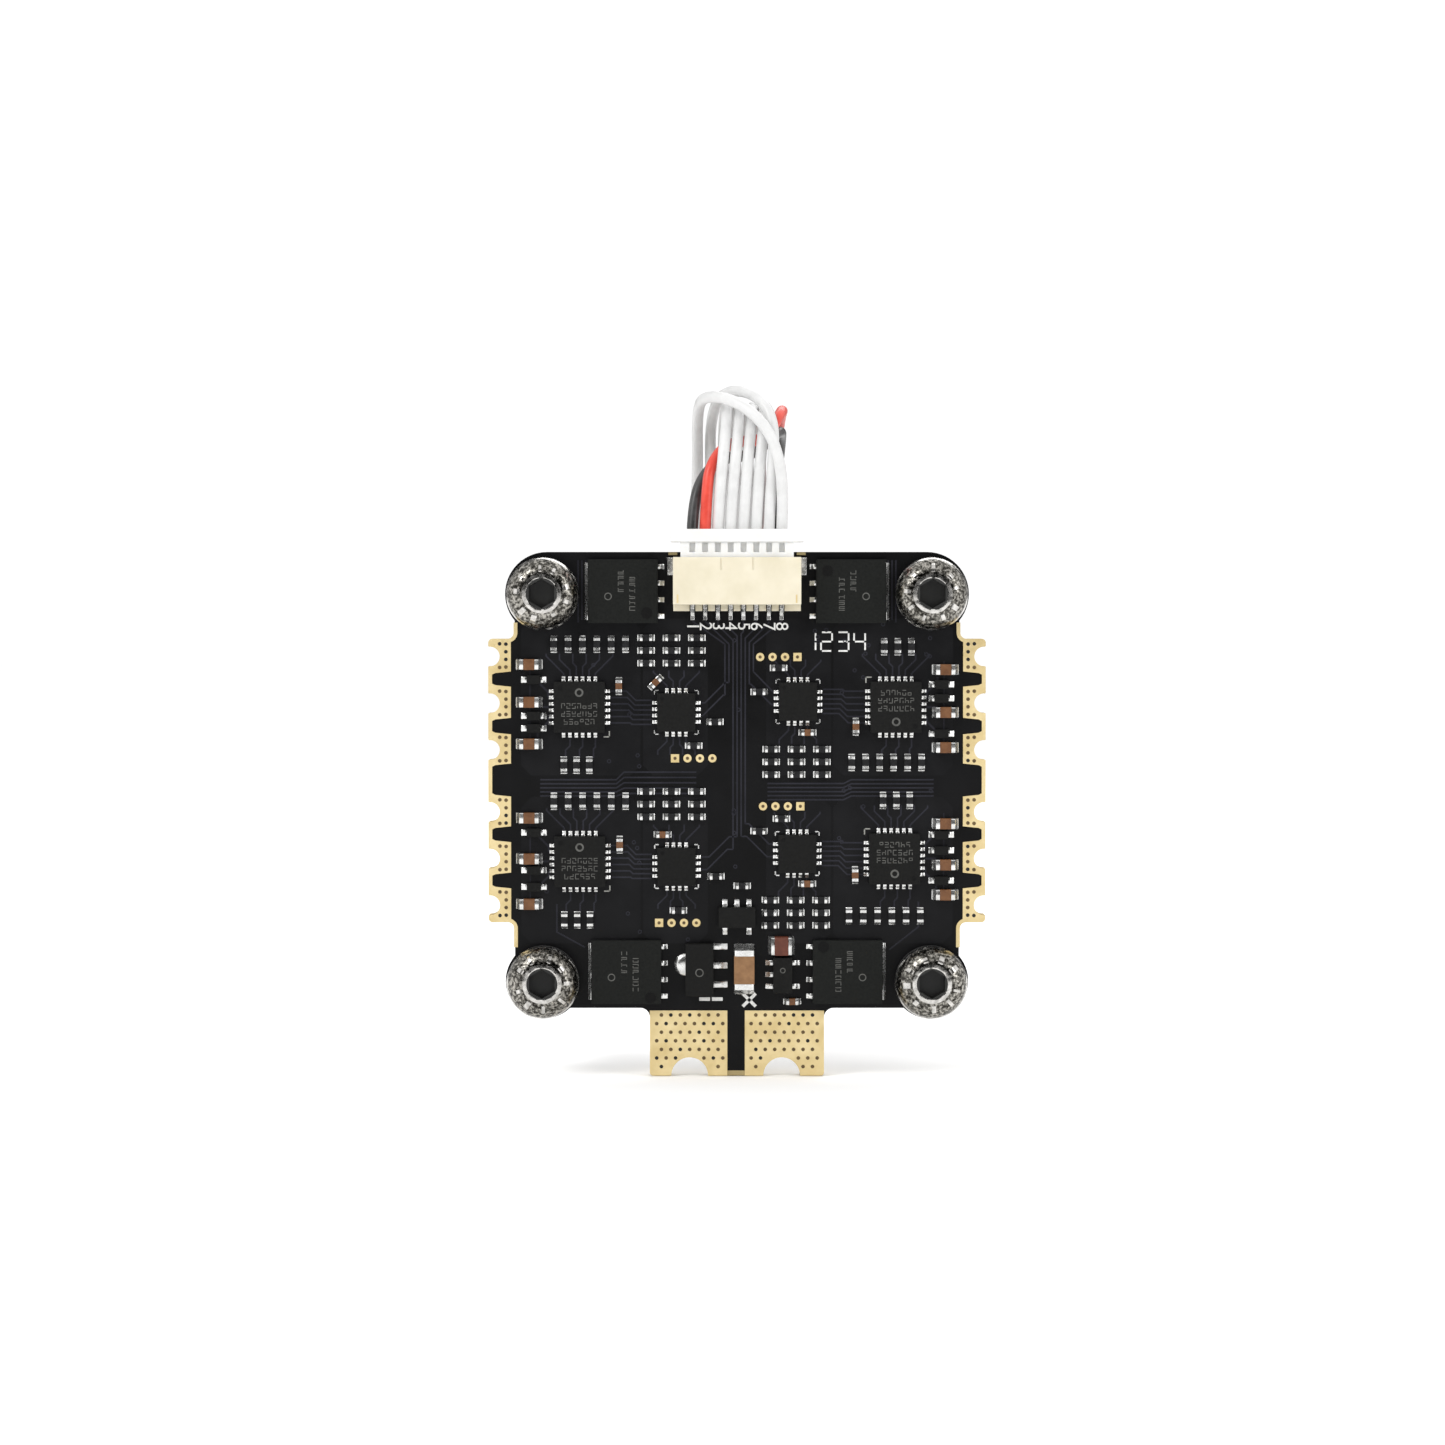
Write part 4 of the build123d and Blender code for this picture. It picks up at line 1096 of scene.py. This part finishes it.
def front_tracks():
    """The bus from the header down the middle, and the fans round each chip."""
    shape = Shape()

    def track(route, width=0.12):
        clean = [route[0]]
        for place in route[1:]:
            if math.dist(place, clean[-1]) > 0.02:
                clean.append(place)
        FRONT_FACE.track(shape, clean, width)

    controller_x = (-4.77, 4.8, -4.76, 4.75)
    controller_z = (5.93, 6.79, -6.22, -5.2)
    driver_x = (-12.4, 12.5, -12.37, 12.4)
    driver_z = (6.35, 6.35, -5.82, -5.6)
    for lane in range(8):
        x = BUS_FIRST_X + lane * BUS_PITCH
        track(jog((lane - 3.5, PIN_TOE_Z), (x, BUS_TOP), False))
        quarter = (0, 0, 2, 2, 3, 3, 1, 1)[lane]
        side = math.copysign(1, controller_x[quarter])
        goal_x = controller_x[quarter] - side * 1.95
        goal_z = controller_z[quarter] + (0.75 if lane % 2 else -0.25)
        turn_z = goal_z + 1.6
        track([(x, BUS_TOP), (x, turn_z)])
        track(jog((x, turn_z), (goal_x, goal_z)))
    for quarter in range(4):
        side = math.copysign(1, driver_x[quarter])
        x, z = driver_x[quarter], driver_z[quarter]
        mcu_x, mcu_z = controller_x[quarter], controller_z[quarter]
        for index in range(6):
            start = (x - side * 2.45, z + 1.25 - index * 0.5)
            end = (mcu_x + side * 1.95, mcu_z + 0.95 - index * 0.38)
            track(jog(start, end))
        for index in range(6):
            pin_x = x + (index - 2.5) * 0.5
            track(jog((pin_x, z + 2.45), (x + (index - 2.5) * 1.05, z + 4.2), False))
            if index % 2:
                track(jog((pin_x, z - 2.45), (x + (index - 3) * 0.55, z - 4.0), False))
        for index in range(3):
            level = z + (1 - index) * 2.4
            track(jog((x + side * 2.45, z + (1 - index) * 0.75), (x + side * 3.3, level), False), 0.16)
        track([(side * 16.3, z + 3.6), (side * 16.3, z - 3.2)], 0.08)
        for index in range(4):
            pad_z = mcu_z - 1.95
            pad_x = mcu_x + (index - 1.5) * 0.5
            track(jog((pad_x, pad_z), (mcu_x + (index - 1.5) * 0.98, pad_z - 1.4), False))
            track(jog((pad_x, mcu_z + 1.95), (mcu_x + (index - 1.5) * 1.2, mcu_z + 3.3), False))
    for lane in range(5):
        z = 0.62 - lane * 0.32
        track([(-15.5, z), (-9.5, z), (-8.9, z + 0.6 - lane * 0.1), (-3.2, z + 0.6 - lane * 0.1)])
        track([(15.5, z), (9.0, z), (8.4, z - 0.3), (2.4, z - 0.3)])
    track([(12.0, -12.8), (14.3, -11.0), (14.3, -9.0)])
    track([(-12.0, -12.6), (-14.2, -11.4), (-14.2, -9.2)])
    for side in (-1, 1):
        for index in range(3):
            track([(side * (11.9 + index * 0.3), 17.9), (side * (11.9 + index * 0.3), 13.4 - index * 0.2)])
    shape.piece("front_tracks", TRACE, "board", "solder_mask")


def copper_pours():
    """Wide copper under the mask in each quarter of both faces, a shade lighter than the gaps."""
    shape = Shape()
    cut = 0.8
    for face in (FRONT_FACE, REAR_FACE):
        for side in (-1, 1):
            for low, high in ((0.95, 13.3), (-12.3, -0.75)):
                for inner, outer in ((2.3, 7.4), (7.6, 17.0)):
                    outline = [
                        (inner + cut, low), (outer - cut, low), (outer, low + cut), (outer, high - cut),
                        (outer - cut, high), (inner + cut, high), (inner, high - cut), (inner, low + cut),
                    ]
                    face.prism(shape, [(side * x, z) for x, z in outline], 0.005)
    shape.piece("copper_pours", POUR, "board", "solder_mask")


def rear_tracks():
    """Wide supply tracks and a few signal lines between the rear transistors."""
    shape = Shape()
    for side in (-1, 1):
        for index in range(4):
            x = side * (10.2 + index * 0.3)
            REAR_FACE.track(shape, [(x, 15.5), (x, 1.0 + index), (x - side * 0.3, 0.4 + index), (x - side * 0.3, -14.5)])
        for index in range(5):
            x = side * (3.0 + index * 0.24)
            REAR_FACE.track(shape, [(x, 12.5 - index * 0.4), (x, -11.5 + index * 0.5)], 0.11)
        for row in range(4):
            z = 10.4 - row * 6.2
            REAR_FACE.track(shape, jog((side * 16.9, z), (side * 17.4, z - 1.2), False), 0.3)
    for index in range(8):
        x = (index - 3.5) * 0.9
        REAR_FACE.track(shape, jog((x, 17.6), (x * 0.8, 16.2), False))
    shape.piece("rear_tracks", TRACE, "board", "solder_mask")


def loose_vias():
    """Tented holes dotted along the tracks on both faces."""
    shape = Shape()
    taken = [solid.centre for node in VIA_KEEP_OUT for solid in solids_of(node)]
    for face in (FRONT_FACE, REAR_FACE):
        placed = 0
        while placed < 45:
            x = random.uniform(-15.5, 15.5)
            z = random.uniform(-12.0, 13.2)
            place = Vector((x * MM, 0, z * MM))
            gap = min((Vector((spot.x, 0, spot.z)) - place).length for spot in taken)
            if gap < 1.1 * MM:
                continue
            face.ring(shape, x, z, 0.09, 0.17, 0.014, 14)
            placed += 1
    shape.piece("tented_vias", TRACE, "board", "solder_mask")


def bare_tip():
    """Uncoated laminate at the end of the gap between the battery pads."""
    shape = Shape()
    gap_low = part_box("battery_pad_negative")[1].x / MM
    gap_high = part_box("battery_pad_positive")[0].x / MM
    for face in (FRONT_FACE, REAR_FACE):
        middle = (gap_low + gap_high) / 2
        face.bar(shape, middle, TAB_LOW + 0.2, gap_high - gap_low, 0.4, 0.006)
    for side in (-1, 1):
        FRONT_FACE.bar(shape, side * 5.05, 18.42, 0.7, 0.22, 0.006)
    shape.piece("bare_tip", LAMINATE, "board", "solder_mask")


def header_marks():
    """Two slivers of brass showing at the header's lower corners."""
    shape = Shape()
    face = Face(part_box("header_housing")[0].y)
    for side in (-1, 1):
        face.bar(shape, side * 4.64, 14.85, 0.13, 0.65, 0.004)
    shape.piece("header_marks", GOLD, "board", "ivory_nylon")


VIA_KEEP_OUT = ["chip_resistor_terminals", "chip_capacitor_terminals", "test_pads", "motor_controller_terminals",
                "gate_driver_terminals"]
PAD_FRONT_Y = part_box("battery_pad_negative")[0].y
PAD_REAR_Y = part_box("battery_pad_negative")[1].y
NOTCH_X = (-3.73, 3.53)
TAB_LOW = BOARD_LOW.z / MM
MOTOR_NOTCH_Z = (10.4, 6.67, 3.04, -1.89, -5.54, -9.16)

print_marks()
package_marks()
corner_marks()
pad_vias()
copper_pours()
front_tracks()
rear_tracks()
loose_vias()
bare_tip()
header_marks()


# ---- signal wires ----
# The routes repeat the CAD wires' points, in metres.
WIRE_ROUTES = {
    "wire_black": [
        (-0.0035, -0.0051, 0.0203),
        (-0.0034, -0.0047, 0.0225),
        (-0.0026, -0.0036, 0.0247),
        (-0.0009, -0.0024, 0.0261),
        (0.0013, -0.001, 0.0262),
        (0.0035, 0.0014, 0.0285),
        (0.0036, 0.0052, 0.0279),
        (0.0032, 0.0068, 0.0243),
        (0.0031, 0.0071, 0.0195),
        (0.00315, 0.0067, 0.0135),
        (0.00345, 0.007, 0.007),
        (0.0036, 0.00745, 0.0),
        (0.0035, 0.0075, -0.006),
    ],
    "wire_red": [
        (-0.0025, -0.0051, 0.0203),
        (-0.0024, -0.0052, 0.0228),
        (-0.0021, -0.0046, 0.0255),
        (-0.0005, -0.0029, 0.0273),
        (0.0022, -0.0017, 0.0273),
        (0.00375, 0.001, 0.0302),
        (0.0035, 0.0053, 0.0296),
        (0.0031, 0.0079, 0.0259),
        (0.00315, 0.0082, 0.0205),
        (0.0029, 0.00835, 0.014),
        (0.00265, 0.00805, 0.007),
        (0.00255, 0.0075, 0.0),
        (0.0025, 0.0075, -0.006),
    ],
    "wire_white_1": [
        (-0.0015, -0.0051, 0.0203),
        (-0.00135, -0.0052, 0.0232),
        (-0.001, -0.0051, 0.0267),
        (-0.0007, -0.0025, 0.03),
        (-0.00095, 0.0026, 0.0301),
        (-0.0011, 0.0069, 0.0272),
        (-0.00105, 0.0075, 0.0225),
        (-0.00065, 0.0059, 0.0165),
        (0.00105, 0.00585, 0.0105),
        (0.00155, 0.0071, 0.004),
        (0.00153, 0.0075, -0.001),
        (0.0015, 0.0075, -0.006),
    ],
    "wire_white_2": [
        (-0.0005, -0.0051, 0.0203),
        (-0.00035, -0.0052, 0.0232),
        (-0.00003, -0.0051, 0.0267),
        (0.00028, -0.0025, 0.03),
        (0.00003, 0.0026, 0.0301),
        (-0.00008, 0.0069, 0.0272),
        (-0.00006, 0.0075, 0.0225),
        (0.00005, 0.00695, 0.0165),
        (0.0004, 0.00695, 0.0105),
        (0.00055, 0.00735, 0.004),
        (0.00053, 0.0075, -0.001),
        (0.0005, 0.0075, -0.006),
    ],
    "wire_white_3": [
        (0.0005, -0.0051, 0.0203),
        (0.00065, -0.0052, 0.0232),
        (0.00094, -0.0051, 0.0267),
        (0.00126, -0.0025, 0.03),
        (0.00101, 0.0026, 0.0301),
        (0.00092, 0.0069, 0.0272),
        (0.001, 0.0075, 0.0225),
        (0.0006, 0.00805, 0.0165),
        (-0.0002, 0.00805, 0.0105),
        (-0.00055, 0.00765, 0.004),
        (-0.00047, 0.0075, -0.001),
        (-0.0005, 0.0075, -0.006),
    ],
    "wire_white_4": [
        (0.0015, -0.0051, 0.0203),
        (0.00162, -0.00515, 0.0232),
        (0.00192, -0.0051, 0.0267),
        (0.00223, -0.0025, 0.03),
        (0.00198, 0.0026, 0.0301),
        (0.00193, 0.0069, 0.0272),
        (0.002, 0.00765, 0.0225),
        (0.00125, 0.00915, 0.0165),
        (-0.00085, 0.00915, 0.0105),
        (-0.0016, 0.00795, 0.004),
        (-0.00145, 0.0076, -0.001),
        (-0.0015, 0.0075, -0.006),
    ],
    "wire_white_5": [
        (0.0025, -0.0051, 0.0203),
        (0.0026, -0.00515, 0.023),
        (0.00288, -0.00525, 0.0262),
        (0.0028, -0.005, 0.0292),
        (0.0012, -0.0031, 0.0312),
        (-0.0012, 0.0009, 0.03145),
        (-0.00215, 0.0058, 0.0294),
        (-0.0021, 0.0076, 0.025),
        (-0.0022, 0.0074, 0.0195),
        (-0.0024, 0.00765, 0.0125),
        (-0.0026, 0.0074, 0.0055),
        (-0.00245, 0.00755, -0.0005),
        (-0.0025, 0.0075, -0.006),
    ],
    "wire_white_6": [
        (0.0035, -0.0051, 0.0203),
        (0.0036, -0.0056, 0.0228),
        (0.00335, -0.00615, 0.0256),
        (0.0024, -0.00615, 0.0282),
        (0.0001, -0.0053, 0.0303),
        (-0.0025, -0.0018, 0.031),
        (-0.0032, 0.0038, 0.0302),
        (-0.00315, 0.0079, 0.0255),
        (-0.00345, 0.0075, 0.0195),
        (-0.0033, 0.0073, 0.0125),
        (-0.0036, 0.0076, 0.0055),
        (-0.00345, 0.0074, -0.0005),
        (-0.0035, 0.0075, -0.006),
    ],
}
WIRE_DIAMETER = 0.9 * MM


def make_wire(node, points, material):
    """One silicone wire: a smooth line with a round section."""
    curve = bpy.data.curves.new(node + "_silicone", "CURVE")
    curve.dimensions = "3D"
    curve.bevel_depth = WIRE_DIAMETER / 2
    curve.bevel_resolution = 5
    curve.resolution_u = 14
    curve.use_fill_caps = True
    line = curve.splines.new("NURBS")
    line.points.add(len(points) - 1)
    for point, place in zip(line.points, points):
        point.co = (*place, 1)
    line.order_u = 3
    line.use_endpoint_u = True
    curve.materials.append(material)
    wire = bpy.data.objects.new(node + "_silicone", curve)
    bpy.context.scene.collection.objects.link(wire)
    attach(wire, "signal_cable")
    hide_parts(node)


for node, points in WIRE_ROUTES.items():
    material, slot = WHITE_SILICONE, "white_wire"
    if node == "wire_red":
        material, slot = RED_SILICONE, "red_wire"
    if node == "wire_black":
        material, slot = BLACK_SILICONE, "black_wire"
    make_wire(node, points, material)
